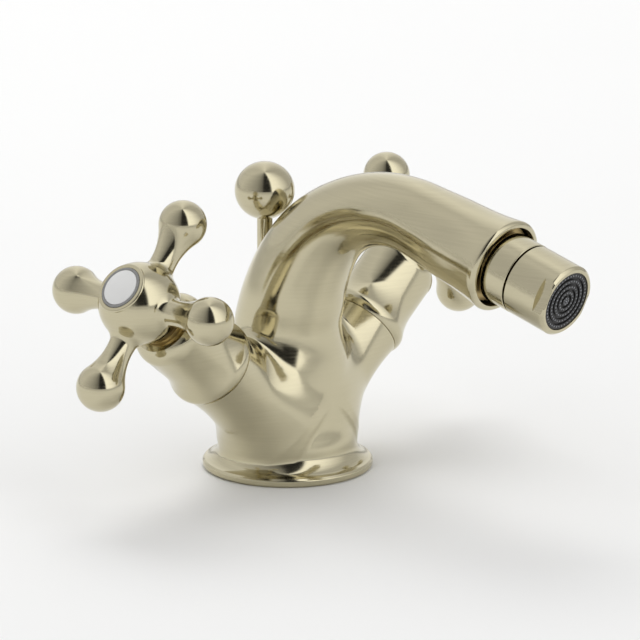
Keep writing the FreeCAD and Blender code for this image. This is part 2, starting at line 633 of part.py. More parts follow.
def handle_screw():
    """Slotted screw that holds the handle on the spindle."""
    top = SCREW_SEAT + SCREW_HEAD_HEIGHT
    shank = rod(SCREW_RADIUS, SCREW_SEAT - SCREW_LENGTH, SCREW_SEAT)
    shape = shank.fuse(rod(SCREW_HEAD_RADIUS, SCREW_SEAT, top))
    slot = block(2 * SCREW_HEAD_RADIUS + OVERRUN, SCREW_SLOT_WIDTH, top - SCREW_SLOT_DEPTH, top + OVERRUN)
    return shape.cut(slot)


def index_ring():
    """Dark ring round the index disc."""
    return tube(INDEX_RADIUS - INDEX_RING_WIDTH, INDEX_RADIUS, INDEX_SEAT, HUB_TOP_STATION + INDEX_RING_RISE)


def index_disc():
    """White disc of the index, slightly domed, with a plug in the hub's counterbore."""
    radius = INDEX_RADIUS - INDEX_RING_WIDTH - THREAD_GAP
    plug = HUB_COUNTERBORE_RADIUS - THREAD_GAP
    edge = HUB_TOP_STATION + INDEX_RING_RISE
    crown = edge + INDEX_DOME_RISE
    bulge = (radius ** 2 + INDEX_DOME_RISE ** 2) / (2 * INDEX_DOME_RISE)
    half = math.asin(radius / bulge) / 2
    return turned(
        (0, INDEX_SEAT - INDEX_PLUG_LENGTH), (plug, INDEX_SEAT - INDEX_PLUG_LENGTH), (plug, INDEX_SEAT),
        (radius, INDEX_SEAT), (radius, edge),
        (bulge * math.sin(half), crown - bulge * (1 - math.cos(half)), "arc"), (0, crown))


def lift_rod():
    """Rod from the casting's foot to the knob, tapped below for the waste linkage."""
    shape = turned(
        (0, ROD_FOOT_HEIGHT), (ROD_RADIUS, ROD_FOOT_HEIGHT), (ROD_RADIUS, KNOB_BOTTOM),
        (ROD_STUD_RADIUS, KNOB_BOTTOM), (ROD_STUD_RADIUS, KNOB_BOTTOM + ROD_STUD_LENGTH),
        (0, KNOB_BOTTOM + ROD_STUD_LENGTH))
    clip_top = ROD_CLIP_BOTTOM + ROD_CLIP_THICKNESS
    hollows = [
        rod(ROD_LINK_RADIUS, ROD_FOOT_HEIGHT - OVERRUN, ROD_FOOT_HEIGHT + ROD_LINK_DEPTH),
        tube(ROD_RADIUS - ROD_CLIP_DEPTH, ROD_RADIUS + OVERRUN, ROD_CLIP_BOTTOM, clip_top)]
    return at_rod(shape.cut(hollows))


def lift_knob():
    """Flattened ball screwed on the rod."""
    squash = FreeCAD.Matrix()
    squash.scale(1, 1, KNOB_HALF_HEIGHT / KNOB_RADIUS)
    shape = Part.makeSphere(KNOB_RADIUS).transformGeometry(squash)
    shape.translate(Vector(0, 0, KNOB_HEIGHT))
    flat = rod(KNOB_RADIUS, KNOB_HEIGHT - KNOB_HALF_HEIGHT - OVERRUN, KNOB_BOTTOM)
    stud_top = KNOB_BOTTOM + ROD_STUD_LENGTH + LOOSE_GAP
    return at_rod(shape.cut([flat, rod(ROD_STUD_RADIUS + THREAD_GAP, KNOB_BOTTOM - OVERRUN, stud_top)]))


def rod_clip():
    """Open clip on the rod that stops its travel."""
    top = ROD_CLIP_BOTTOM + ROD_CLIP_THICKNESS
    ring = tube(ROD_RADIUS - ROD_CLIP_DEPTH, ROD_CLIP_RADIUS, ROD_CLIP_BOTTOM, top)
    mouth = block(ROD_CLIP_MOUTH, ROD_CLIP_RADIUS + OVERRUN, ROD_CLIP_BOTTOM - OVERRUN, top + OVERRUN)
    mouth.translate(Vector(0, (ROD_CLIP_RADIUS + OVERRUN) / 2, 0))
    return at_rod(ring.cut(mouth))


def rod_bush():
    """Plastic bush in the foot that guides the rod and carries its clip."""
    outer = ROD_CHAMBER_RADIUS - THREAD_GAP
    top = ROD_CLIP_BOTTOM - THREAD_GAP
    return at_rod(tube(ROD_RADIUS + RUNNING_GAP, outer, top - ROD_BUSH_HEIGHT, top))


def ball_reach(radius, away):
    """Radius of a sphere about the pivot, at a distance along the axis."""
    return math.sqrt(radius ** 2 - away ** 2)


def swivel_seat():
    """Plastic ring behind the ball, with a spherical seat."""
    seat = BALL_RADIUS + RUNNING_GAP
    outer = SOCKET_RADIUS - RUNNING_GAP
    shape = tube(SEAT_BORE_RADIUS, outer, -SOCKET_DEPTH + DISC_GAP, -SEAT_FRONT_DEPTH)
    return at_outlet(shape.cut(Part.makeSphere(seat, Vector(0, 0, -PIVOT_DEPTH))))


def ball_seal():
    """Rubber ring between the seat and the retainer."""
    front = -SEAT_FRONT_DEPTH + BALL_SEAL_LENGTH + LOOSE_GAP / 2
    inner = BALL_RADIUS + RUNNING_GAP
    return at_outlet(tube(inner, SOCKET_RADIUS - THREAD_GAP, front - BALL_SEAL_LENGTH, front))


def swivel_retainer():
    """Brass ring screwed into the spout that keeps the ball in its seat."""
    seat = BALL_RADIUS + RUNNING_GAP
    back = -SEAT_FRONT_DEPTH + BALL_SEAL_LENGTH + LOOSE_GAP / 2
    flange_front = -MOUTH_DEPTH + RETAINER_FLANGE
    opening = ball_reach(seat, flange_front + PIVOT_DEPTH)
    shape = turned(
        (opening, back), (SOCKET_RADIUS - THREAD_GAP, back), (SOCKET_RADIUS - THREAD_GAP, -MOUTH_DEPTH),
        (RETAINER_FLANGE_RADIUS, -MOUTH_DEPTH), (RETAINER_FLANGE_RADIUS, flange_front),
        (opening, flange_front))
    socket = Part.makeSphere(seat, Vector(0, 0, -PIVOT_DEPTH))
    return at_outlet(shape.cut([socket, rod(seat, back - OVERRUN, -PIVOT_DEPTH)]))


def swivel_ball():
    """Hollow ball with a threaded stem."""
    ball = Part.makeSphere(BALL_RADIUS, Vector(0, 0, -PIVOT_DEPTH))
    stem = rod(STEM_RADIUS, -PIVOT_DEPTH, STEM_END)
    bore = rod(BALL_BORE_RADIUS, -PIVOT_DEPTH - BALL_RADIUS - OVERRUN, STEM_END + OVERRUN)
    shape = ball.cut(tube(STEM_RADIUS, BALL_RADIUS, -COLLAR_BACK_DEPTH, BALL_RADIUS))
    return at_outlet(shape.fuse(stem).cut(bore))


def outlet_collar():
    """Collar screwed on the ball's stem, with a stub for the aerator housing."""
    half = math.sqrt(0.5)
    back = -COLLAR_BACK_DEPTH
    round_radius = COLLAR_RADIUS - COLLAR_BACK_EDGE
    middle = (round_radius + COLLAR_BACK_EDGE * half, back + COLLAR_BACK_EDGE * (1 - half), "arc")
    bore = STEM_RADIUS + THREAD_GAP
    return at_outlet(turned(
        (bore, back), (round_radius, back), middle, (COLLAR_RADIUS, back + COLLAR_BACK_EDGE),
        (COLLAR_RADIUS, COLLAR_FRONT), (COLLAR_STUB_RADIUS, COLLAR_FRONT),
        (COLLAR_STUB_RADIUS, COLLAR_STUB_END), (COLLAR_CHAMBER_RADIUS, COLLAR_STUB_END),
        (COLLAR_CHAMBER_RADIUS, COLLAR_FRONT),
        (BALL_BORE_RADIUS, COLLAR_FRONT), (BALL_BORE_RADIUS, STEM_END), (bore, STEM_END)))


def aerator_housing():
    """Cup round the aerator, with two spanner flats at its front edge."""
    thread = COLLAR_STUB_RADIUS + THREAD_GAP
    lip = AERATOR_RADIUS + THREAD_GAP
    shape = turned(
        (thread, HOUSING_BACK), (HOUSING_RADIUS, HOUSING_BACK),
        (HOUSING_RADIUS, HOUSING_FRONT - HOUSING_CHAMFER),
        (HOUSING_RADIUS - HOUSING_CHAMFER, HOUSING_FRONT), (lip, HOUSING_FRONT), (lip, HOUSING_STEP),
        (thread, HOUSING_STEP))
    depth = HOUSING_RADIUS + OVERRUN - WRENCH_FLAT_DISTANCE
    for side in (-1, 1):
        flat = block(depth, 2 * HOUSING_RADIUS, HOUSING_FRONT - WRENCH_FLAT_LENGTH, HOUSING_FRONT + OVERRUN)
        flat.translate(Vector(side * (WRENCH_FLAT_DISTANCE + depth / 2), 0, 0))
        flat.rotate(Vector(0, 0, 0), Vector(0, 0, 1), WRENCH_FLAT_TURN)
        shape = shape.cut(flat)
    return at_outlet(shape)


def aerator_washer():
    """Rubber washer between the collar's stub and the aerator."""
    front = HOUSING_STEP - AERATOR_FLANGE
    return at_outlet(tube(COLLAR_CHAMBER_RADIUS, COLLAR_STUB_RADIUS, COLLAR_STUB_END, front))


def aerator_insert():
    """Black flow insert with ring grooves in its face."""
    back = HOUSING_STEP - AERATOR_FLANGE
    face = HOUSING_FRONT - AERATOR_FACE_RECESS
    shape = turned(
        (0, back), (AERATOR_FLANGE_RADIUS, back), (AERATOR_FLANGE_RADIUS, HOUSING_STEP),
        (AERATOR_RADIUS, HOUSING_STEP), (AERATOR_RADIUS, face), (0, face))
    pitch = AERATOR_RADIUS / (AERATOR_GROOVES + 1)
    grooves = []
    for ring in range(1, AERATOR_GROOVES + 1):
        inner = ring * pitch - AERATOR_GROOVE_WIDTH / 2
        grooves.append(tube(inner, inner + AERATOR_GROOVE_WIDTH, face - AERATOR_GROOVE_DEPTH, face + OVERRUN))
    return at_outlet(shape.cut(grooves))


def flow_screen():
    """Round strainer behind the flow insert."""
    back = HOUSING_STEP - AERATOR_FLANGE
    return at_outlet(rod(COLLAR_CHAMBER_RADIUS - LOOSE_GAP, back - SCREEN_THICKNESS, back))


def valve_nodes():
    """Pieces of both valves, named by side."""
    makers = (
        headwork, headwork_seal, seat_seal, fixed_disc, moving_disc, spindle, spindle_oring,
        spindle_clip, bonnet, handle, handle_screw, index_ring, index_disc)
    nodes = {}
    for maker in makers:
        shape = maker()
        for name, side in (("hot", -1), ("cold", 1)):
            nodes[name + "_" + maker.__name__] = at_valve(shape, side)
    return nodes


def single_nodes():
    """Pieces that the mixer has once."""
    makers = (
        body_casting, base_gasket, lift_rod, lift_knob, rod_clip, rod_bush, swivel_seat, ball_seal,
        swivel_retainer, swivel_ball, outlet_collar, aerator_housing, aerator_washer, aerator_insert,
        flow_screen)
    return {maker.__name__: maker() for maker in makers}


def main():
    """Write each piece to its own file."""
    os.makedirs("parts", exist_ok=True)
    nodes = single_nodes()
    nodes.update(valve_nodes())
    for name, shape in nodes.items():
        shape.exportStep("parts/" + name + ".step")
        print(name, shape.isValid(), len(shape.Solids), round(shape.Volume, 1))


main()
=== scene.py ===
"""Looks of a deck-mounted bidet mixer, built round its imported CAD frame.

The polished metal is remade as smooth skins, because a mirror finish shows every facet: round pieces
are turned from a profile, and the casting and the handles are drawn as fields whose surfaces are
netted, settled and trimmed. Sizes are those of the CAD part, in millimetres, and the scene is in metres.
"""

from __future__ import annotations

import json
import logging
import math
from dataclasses import dataclass
from enum import Enum
from typing import Callable, Iterable, Sequence

import bmesh
import bpy
import numpy as np
from mathutils import Matrix, Vector

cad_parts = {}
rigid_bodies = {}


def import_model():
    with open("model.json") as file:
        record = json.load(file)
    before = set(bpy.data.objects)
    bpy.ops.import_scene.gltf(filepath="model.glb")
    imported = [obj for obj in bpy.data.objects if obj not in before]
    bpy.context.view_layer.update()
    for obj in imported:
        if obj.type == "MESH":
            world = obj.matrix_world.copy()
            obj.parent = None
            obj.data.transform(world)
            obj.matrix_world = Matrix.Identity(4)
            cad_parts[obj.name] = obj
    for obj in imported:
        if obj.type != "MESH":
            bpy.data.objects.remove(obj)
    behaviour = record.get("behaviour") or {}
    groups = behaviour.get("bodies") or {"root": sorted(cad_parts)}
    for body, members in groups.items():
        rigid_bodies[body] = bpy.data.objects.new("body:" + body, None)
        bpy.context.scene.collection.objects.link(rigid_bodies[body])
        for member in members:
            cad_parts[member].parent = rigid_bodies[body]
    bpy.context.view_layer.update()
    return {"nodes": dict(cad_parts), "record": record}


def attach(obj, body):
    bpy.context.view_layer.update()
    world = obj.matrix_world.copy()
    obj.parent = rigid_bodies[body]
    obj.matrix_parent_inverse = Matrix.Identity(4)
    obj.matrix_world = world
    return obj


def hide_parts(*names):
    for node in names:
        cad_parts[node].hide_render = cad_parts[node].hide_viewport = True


LOG = logging.getLogger("bidet_mixer")
MILLIMETRE = 0.001
DIAGONAL = math.sqrt(0.5)

Point = tuple[float, float, float]
Step = tuple[float, float]
Field = Callable[[np.ndarray], np.ndarray]


class Body(Enum):
    """Rigid bodies that the skins ride on."""

    MIXER = "mixer_body"
    HOT = "hot_handle_set"
    COLD = "cold_handle_set"
    LIFT = "lift_set"
    OUTLET = "outlet"


class Slot(Enum):
    """Material slots of the record."""

    SATIN_BRASS = "satin_brass"
    RAW_BRASS = "raw_brass"
    STEEL = "steel"
    RUBBER = "rubber"
    ACETAL = "acetal"
    CERAMIC = "ceramic"
    INDEX_GREY = "index_grey"
    INDEX_WHITE = "index_white"
    AERATOR_BLACK = "aerator_black"


class Side(Enum):
    """The two valves, by the sign of their X."""

    HOT = -1
    COLD = 1

    @property
    def prefix(self) -> str:
        """Start of this valve's node names.

        Returns:
            The side's name with an underscore.
        """
        return self.name.lower() + "_"

    @property
    def body(self) -> Body:
        """Body that turns with this valve's handle.

        Returns:
            The handle's body.
        """
        return Body.HOT if self is Side.HOT else Body.COLD


class Turn(Enum):
    """Row axis that a local frame is turned about."""

    X = 0
    Y = 1
    Z = 2


class Fineness(Enum):
    """Steps round a turned piece."""

    ROD = 96
    BUTTON = 128
    INSERT = 160
    USUAL = 192
    FOOT = 256
    HOUSING = 360


@dataclass(frozen=True)
class Axis:
    """Local frame whose +Z is a piece's own axis.

    Args:
        origin: Place of the local origin, in millimetres.
        turn: Row axis that the frame is turned about.
        degrees: Angle of that turn.
    """

    origin: Point = (0.0, 0.0, 0.0)
    turn: Turn = Turn.X
    degrees: float = 0.0

    @property
    def matrix(self) -> np.ndarray:
        """Rotation of the local frame.

        Returns:
            A 3 by 3 matrix whose columns are the local axes.
        """
        c, s = math.cos(math.radians(self.degrees)), math.sin(math.radians(self.degrees))
        first, second = (self.turn.value + 1) % 3, (self.turn.value + 2) % 3
        matrix = np.eye(3)
        matrix[first, first] = matrix[second, second] = c
        matrix[first, second], matrix[second, first] = -s, s
        return matrix

    def place(self, points: np.ndarray) -> np.ndarray:
        """Local points in the row frame.

        Args:
            points: Local points, in millimetres.

        Returns:
            The same points in the row frame.
        """
        return points @ self.matrix.T + np.array(self.origin)

    def direct(self, vectors: np.ndarray) -> np.ndarray:
        """Local directions in the row frame.

        Args:
            vectors: Local directions.

        Returns:
            The same directions in the row frame.
        """
        return vectors @ self.matrix.T

    def local(self, points: np.ndarray) -> np.ndarray:
        """Row points in the local frame.

        Args:
            points: Points of the row frame, in millimetres.

        Returns:
            The same points in the local frame.
        """
        return (points - np.array(self.origin)) @ self.matrix


DOWN = Axis(turn=Turn.X, degrees=180.0)


@dataclass
class Patch:
    """Part of a surface with a normal at every point.

    Args:
        points: Points, in millimetres.
        normals: Unit normals.
        faces: Corner numbers of each face.
    """

    points: np.ndarray
    normals: np.ndarray
    faces: list[list[int]]

    def placed(self, axis: Axis) -> "Patch":
        """Copy of the patch on an axis.

        Args:
            axis: Local frame that the patch was drawn in.

        Returns:
            The patch in the row frame.
        """
        return Patch(axis.place(self.points), axis.direct(self.normals), self.faces)

    @staticmethod
    def joined(patches: Iterable["Patch"]) -> "Patch":
        """Several patches as one.

        Args:
            patches: Patches to join.

        Returns:
            One patch with all of them.
        """
        points, normals, faces, start = [], [], [], 0
        for patch in patches:
            points.append(patch.points)
            normals.append(patch.normals)
            faces.extend([[corner + start for corner in face] for face in patch.faces])
            start += len(patch.points)
        return Patch(np.concatenate(points), np.concatenate(normals), faces)

    def to_object(self, name: str, material: bpy.types.Material) -> bpy.types.Object:
        """Smooth mesh object of the patch.

        Args:
            name: Object's name.
            material: Its only material.

        Returns:
            The object, linked to the scene.
        """
        mesh = bpy.data.meshes.new(name)
        mesh.from_pydata((self.points * MILLIMETRE).tolist(), [], self.faces)
        mesh.shade_smooth()
        mesh.normals_split_custom_set_from_vertices(self.normals.tolist())
        mesh.materials.append(material)
        thing = bpy.data.objects.new(name, mesh)
        bpy.context.scene.collection.objects.link(thing)
        return thing


class Profile:
    """Outline of a turned piece, walked with the metal on the left.

    ARC_STEP is the greatest step along an arc, and SPLIT_ANGLE the least corner that stays sharp, in
    degrees. A point nearer than ON_AXIS to the axis closes the piece.

    Args:
        radius: Radius of the first point.
        height: Height of the first point.
    """

    ARC_STEP = 3.0
    SPLIT_ANGLE = 22.0
    ON_AXIS = 1e-6

    def __init__(self, radius: float, height: float) -> None:
        self.ends: list[Step] = [(radius, height)]
        self.middles: list[Step | None] = []
        self.rounds: list[float] = [0.0]

    def line(self, radius: float, height: float, rounding: float = 0.0) -> "Profile":
        """Adds a straight step.

        Args:
            radius: Radius of its end.
            height: Height of its end.
            rounding: Radius of the corner at its end, between two straight steps.

        Returns:
            This profile.
        """
        self.ends.append((radius, height))
        self.middles.append(None)
        self.rounds.append(rounding)
        return self

    def arc(self, middle: Step, radius: float, height: float) -> "Profile":
        """Adds a round step.

        Args:
            middle: Point of the arc between its ends.
            radius: Radius of its end.
            height: Height of its end.

        Returns:
            This profile.
        """
        self.ends.append((radius, height))
        self.middles.append(middle)
        self.rounds.append(0.0)
        return self

    @staticmethod
    def circle(a: Step, b: Step, c: Step) -> tuple[np.ndarray, float]:
        """Circle through three points.

        Args:
            a: First point.
            b: Second point.
            c: Third point.

        Returns:
            The circle's centre and radius.
        """
        ax, ay, bx, by, cx, cy = *a, *b, *c
        d = 2 * (ax * (by - cy) + bx * (cy - ay) + cx * (ay - by))
        sa, sb, sc = ax * ax + ay * ay, bx * bx + by * by, cx * cx + cy * cy
        centre = np.array([
            (sa * (by - cy) + sb * (cy - ay) + sc * (ay - by)) / d,
            (sa * (cx - bx) + sb * (ax - cx) + sc * (bx - ax)) / d])
        return centre, float(np.hypot(*(centre - np.array(a))))

    @classmethod
    def _sweep(
            cls, centre: np.ndarray, start: np.ndarray, end: np.ndarray,
            middle: np.ndarray) -> tuple[np.ndarray, np.ndarray]:
        """Points along an arc.

        Args:
            centre: Centre of the arc.
            start: First point of the arc.
            end: Last point of the arc.
            middle: Point that the arc passes on its way.

        Returns:
            The arc's points and their normals.
        """
        first, last, between = (math.atan2(*(p - centre)[::-1]) for p in (start, end, middle))
        turn = (last - first) % (2 * math.pi)
        if (between - first) % (2 * math.pi) > turn:
            turn -= 2 * math.pi
        count = max(2, int(math.degrees(abs(turn)) / cls.ARC_STEP) + 2)
        angles = first + np.linspace(0, turn, count)
        out = np.stack([np.cos(angles), np.sin(angles)], 1)
        points = centre + out * np.hypot(*(start - centre))
        return points, out * (1 if turn > 0 else -1)

    def _pieces(self) -> list[tuple[np.ndarray, np.ndarray]]:
        """Straight and round runs of the outline, with its corners rounded.

        Returns:
            Points and normals of each run, in order.
        """
        ends = [np.array(end, float) for end in self.ends]
        starts, stops, corners = list(ends[:-1]), list(ends[1:]), {}
        for i in range(1, len(ends) - 1):
            size = self.rounds[i]
            if size <= 0 or self.middles[i - 1] is not None or self.middles[i] is not None:
                continue
            back, ahead = ends[i - 1] - ends[i], ends[i + 1] - ends[i]
            back, ahead = back / np.hypot(*back), ahead / np.hypot(*ahead)
            half = math.acos(max(-1.0, min(1.0, float(back @ ahead)))) / 2
            reach = size / math.tan(half)
            centre = ends[i] + (back + ahead) / np.hypot(*(back + ahead)) * size / math.sin(half)
            stops[i - 1] = ends[i] + back * reach
            starts[i] = ends[i] + ahead * reach
            tip = centre + (ends[i] - centre) / np.hypot(*(ends[i] - centre)) * size
            corners[i] = self._sweep(centre, stops[i - 1], starts[i], tip)
        pieces = []
        for i, middle in enumerate(self.middles):
            if i in corners:
                pieces.append(corners[i])
            if middle is None:
                along = stops[i] - starts[i]
                normal = np.array([along[1], -along[0]]) / np.hypot(*along)
                pieces.append((np.stack([starts[i], stops[i]]), np.stack([normal, normal])))
            else:
                centre, _ = self.circle(self.ends[i], middle, self.ends[i + 1])
                pieces.append(self._sweep(centre, ends[i], ends[i + 1], np.array(middle, float)))
        return pieces

    def patch(self, fineness: Fineness = Fineness.USUAL) -> Patch:
        """Surface of revolution about +Z.

        Args:
            fineness: Number of steps round the axis.

        Returns:
            The turned patch, split only at sharp corners.
        """
        segments = fineness.value
        runs: list[list[tuple[np.ndarray, np.ndarray]]] = []
        for points, normals in self._pieces():
            joint = False
            if runs:
                lean = float(runs[-1][-1][1] @ normals[0])
                joint = lean > math.cos(math.radians(self.SPLIT_ANGLE))
            if joint:
                merged = runs[-1][-1][1] + normals[0]
                runs[-1][-1] = (runs[-1][-1][0], merged / np.hypot(*merged))
                runs[-1].extend(zip(points[1:], normals[1:]))
            else:
                runs.append(list(zip(points, normals)))
        turns = np.linspace(0, 2 * math.pi, segments, endpoint=False)
        ring = np.stack([np.cos(turns), np.sin(turns)], 1)
        patches = []
        for run in runs:
            outline = np.array([point for point, _ in run])
            leans = np.array([lean for _, lean in run])
            rows = len(run)
            points = np.concatenate(
                [outline[:, None, :1] * ring[None], np.repeat(outline[:, None, 1:], segments, 1)], 2)
            normals = np.concatenate(
                [leans[:, None, :1] * ring[None], np.repeat(leans[:, None, 1:], segments, 1)], 2)
            faces = []
            for i in range(rows - 1):
                for j in range(segments):
                    k = (j + 1) % segments
                    face = [
                        i * segments + j, i * segments + k,
                        (i + 1) * segments + k, (i + 1) * segments + j]
                    if outline[i, 0] < self.ON_AXIS:
                        face = [face[0], face[2], face[3]]
                    elif outline[i + 1, 0] < self.ON_AXIS:
                        face = [face[0], face[1], face[2]]
                    faces.append(face)
            patches.append(Patch(points.reshape(-1, 3), normals.reshape(-1, 3), faces))
        return Patch.joined(patches)


class Spline:
    """Smooth curve through values at given stations, level at its start.

    Args:
        stations: Rising stations.
        values: Value at each station.
    """

    def __init__(self, stations: Sequence[float], values: Sequence[float]) -> None:
        x, y = np.array(stations, float), np.array(values, float)
        gaps, rises = np.diff(x), np.diff(y)
        count = len(x)
        system, right = np.zeros((count, count)), np.zeros(count)
        system[0, :2] = 2 * gaps[0], gaps[0]
        right[0] = 6 * (rises[0] / gaps[0])
        for i in range(1, count - 1):
            system[i, i - 1:i + 2] = gaps[i - 1], 2 * (gaps[i - 1] + gaps[i]), gaps[i]
            right[i] = 6 * (rises[i] / gaps[i] - rises[i - 1] / gaps[i - 1])
        system[-1, -1] = 1
        self.x, self.y, self.bends = x, y, np.linalg.solve(system, right)

    def __call__(self, stations: np.ndarray) -> np.ndarray:
        """Values at stations, held level before the first.

        Args:
            stations: Stations to read.

        Returns:
            The curve's values.
        """
        s = np.maximum(stations, self.x[0])
        i = np.clip(np.searchsorted(self.x, s) - 1, 0, len(self.x) - 2)
        gap = self.x[i + 1] - self.x[i]
        a, b = (self.x[i + 1] - s) / gap, (s - self.x[i]) / gap
        inner = np.clip(b, 0, 1)
        outer = 1 - inner
        bend = (outer ** 3 - outer) * self.bends[i] + (inner ** 3 - inner) * self.bends[i + 1]
        beyond = np.maximum(b - 1, 0) * gap
        slope = (self.y[-1] - self.y[-2]) / (self.x[-1] - self.x[-2]) + self.bends[-2] * gap / 6
        return outer * self.y[i] + inner * self.y[i + 1] + bend * gap ** 2 / 6 + beyond * slope


@dataclass(frozen=True)
class Trim:
    """Flat end of a skin, square to an axis.

    Args:
        axis: Local frame whose +Z points off the skin.
        station: Place of the cut along the axis.
        radius: Radius of the round rim that the cut leaves.
        reach: Distance from the axis within which the skin is cut.
        depth: Length of skin behind the cut that the cut may touch.
    """

    axis: Axis
    station: float
    radius: float
    reach: float
    depth: float


@dataclass
class Skin:
    """Surface where a field is zero.

    PROBE is the distance over which a slope is read. Points nearer than SHARP_SHARE of a mesh to both
    fields go onto the sharp edge. Slopes, lengths and distances under the three least values count as
    none.

    Args:
        shape: Field that is negative inside, in millimetres.
        low: Lowest corner of the box that holds the surface.
        high: Highest corner of that box.
        step: Size of the net's meshes.
        trims: Flat ends.
        edge: Second field whose zero meets the first in a sharp edge.
    """

    shape: Field
    low: Point
    high: Point
    step: float
    trims: tuple[Trim, ...] = ()
    edge: Field | None = None

    PROBE = 0.01
    SETTLE_ROUNDS = 5
    SHARP_ROUNDS = 6
    SHARP_SHARE = 0.7
    LEAST_SLOPE = 1e-6
    LEAST_LENGTH = 1e-9
    LEAST_DISTANCE = 1e-3

    def _net(self) -> tuple[np.ndarray, np.ndarray]:
        """Net of four-sided meshes near the surface, one point in each cell that it crosses.

        Returns:
            The net's points and the corner numbers of its faces.
        """
        axes = [np.arange(a, b + self.step, self.step) for a, b in zip(self.low, self.high)]
        grid = np.stack(np.meshgrid(*axes, indexing="ij"), -1)
        values = self._combined(grid.reshape(-1, 3)).reshape(grid.shape[:3])
        cells = tuple(n - 1 for n in values.shape)
        total, count = np.zeros(cells + (3,)), np.zeros(cells)
        crossings = []
        for d in range(3):
            u, v = (d + 1) % 3, (d + 2) % 3
            first = tuple(slice(0, -1) if i == d else slice(None) for i in range(3))
            second = tuple(slice(1, None) if i == d else slice(None) for i in range(3))
            a, b = values[first], values[second]
            cross = (a < 0) != (b < 0)
            share = np.where(cross, a / np.where(cross, a - b, 1), 0)
            points = grid[first].copy()
            points[..., d] += share * self.step
            points *= cross[..., None]
            for du in (0, 1):
                for dv in (0, 1):
                    window = [slice(None)] * 3
                    window[u] = slice(du, cells[u] + du)
                    window[v] = slice(dv, cells[v] + dv)
                    total += points[tuple(window)]
                    count += cross[tuple(window)]
            crossings.append((cross, a < 0))
        used = count > 0
        numbers = np.full(cells, -1)
        numbers[used] = np.arange(used.sum())
        quads = []
        for d, (cross, inside) in enumerate(crossings):
            u, v = (d + 1) % 3, (d + 2) % 3
            at = np.argwhere(cross)
            at = at[(at[:, u] > 0) & (at[:, v] > 0) & (at[:, u] < cells[u]) & (at[:, v] < cells[v])]
            flip = ~inside[tuple(at.T)]
            corners = []
            for du, dv in ((1, 1), (0, 1), (0, 0), (1, 0)):
                cell = at.copy()
                cell[:, u] -= du
                cell[:, v] -= dv
                corners.append(numbers[tuple(cell.T)])
            face = np.stack(corners, 1)
            face[flip] = face[flip][:, ::-1]
            quads.append(face)
        return total[used] / count[used][:, None], np.concatenate(quads)

    def _combined(self, points: np.ndarray) -> np.ndarray:
        """Field with the part beyond the sharp edge taken off.

        Args:
            points: Points to read.

        Returns:
            The field's values.
        """
        values = self.shape(points)
        return values if self.edge is None else np.maximum(values, self.edge(points))

    def _slope(self, shape: Field, points: np.ndarray) -> np.ndarray:
        """Slope of a field.

        Args:
            shape: Field to read.
            points: Points to read it at.

        Returns:
            The slope along each row axis.
        """
        slopes = []
        for d in range(3):
            shift = np.zeros(3)
            shift[d] = self.PROBE
            slopes.append((shape(points + shift) - shape(points - shift)) / (2 * self.PROBE))
        return np.stack(slopes, 1)

    def _settle(self, points: np.ndarray) -> np.ndarray:
        """Moves points onto the surface, and those near the sharp edge onto that edge.

        Args:
            points: Points near the surface.

        Returns:
            The settled points.
        """
        for _ in range(self.SETTLE_ROUNDS):
            slope = self._slope(self._combined, points)
            size = np.maximum((slope ** 2).sum(1), self.LEAST_SLOPE)
            move = slope * (self._combined(points) / size)[:, None]
            length = np.maximum(np.linalg.norm(move, axis=1), self.LEAST_LENGTH)
            points = points - move * np.minimum(1, self.step / length)[:, None]
        if self.edge is not None:
            away = np.maximum(np.abs(self.shape(points)), np.abs(self.edge(points)))
            near = away < self.SHARP_SHARE * self.step
            sharp = points[near]
            for _ in range(self.SHARP_ROUNDS):
                one, two = self._slope(self.shape, sharp), self._slope(self.edge, sharp)
                rows = np.stack([one, two], 1)
                errors = np.stack([self.shape(sharp), self.edge(sharp)], 1)
                square = rows @ rows.transpose(0, 2, 1) + self.LEAST_SLOPE * np.eye(2)
                share = np.linalg.solve(square, errors[..., None])
                sharp = sharp - (rows.transpose(0, 2, 1) @ share)[..., 0]
            points[near] = sharp
        return points

    def _trimmed(self, points: np.ndarray, quads: np.ndarray) -> tuple[np.ndarray, list[list[int]]]:
        """Cuts the flat ends and rounds their rims.

        Args:
            points: Points of the net.
            quads: Corner numbers of its faces.

        Returns:
            The points that are left and the corner numbers of their faces.
        """
        mesh = bpy.data.meshes.new("skin")
        mesh.from_pydata(points.tolist(), [], quads.tolist())
        work = bmesh.new()
        work.from_mesh(mesh)
        bpy.data.meshes.remove(mesh)
        for trim in self.trims:
            places = trim.axis.local(np.array([vertex.co[:] for vertex in work.verts]))
            near = np.hypot(places[:, 0], places[:, 1]) < trim.reach
            near &= places[:, 2] > trim.station - trim.depth
            work.verts.index_update()
            faces = [face for face in work.faces if all(near[vertex.index] for vertex in face.verts)]
            edges = list({edge for face in faces for edge in face.edges})
            corners = list({vertex for face in faces for vertex in face.verts})
            middle = trim.axis.place(np.array([[0.0, 0.0, trim.station]]))[0]
            normal = trim.axis.matrix[:, 2]
            bmesh.ops.bisect_plane(
                work, geom=corners + edges + faces, plane_co=middle.tolist(), plane_no=normal.tolist(),
                clear_outer=True)
        work.verts.index_update()
        points = np.array([vertex.co[:] for vertex in work.verts])
        kept = [[vertex.index for vertex in face.verts] for face in work.faces]
        work.free()
        for trim in self.trims:
            places = trim.axis.local(points)
            round_ = np.hypot(places[:, 0], places[:, 1])
            rim = (np.abs(places[:, 2] - trim.station) < self.LEAST_DISTANCE) & (round_ < trim.reach)
            places[rim, 2] = trim.station
            places[rim, :2] *= (trim.radius / round_[rim])[:, None]
            points[rim] = trim.axis.place(places[rim])
        return points, kept

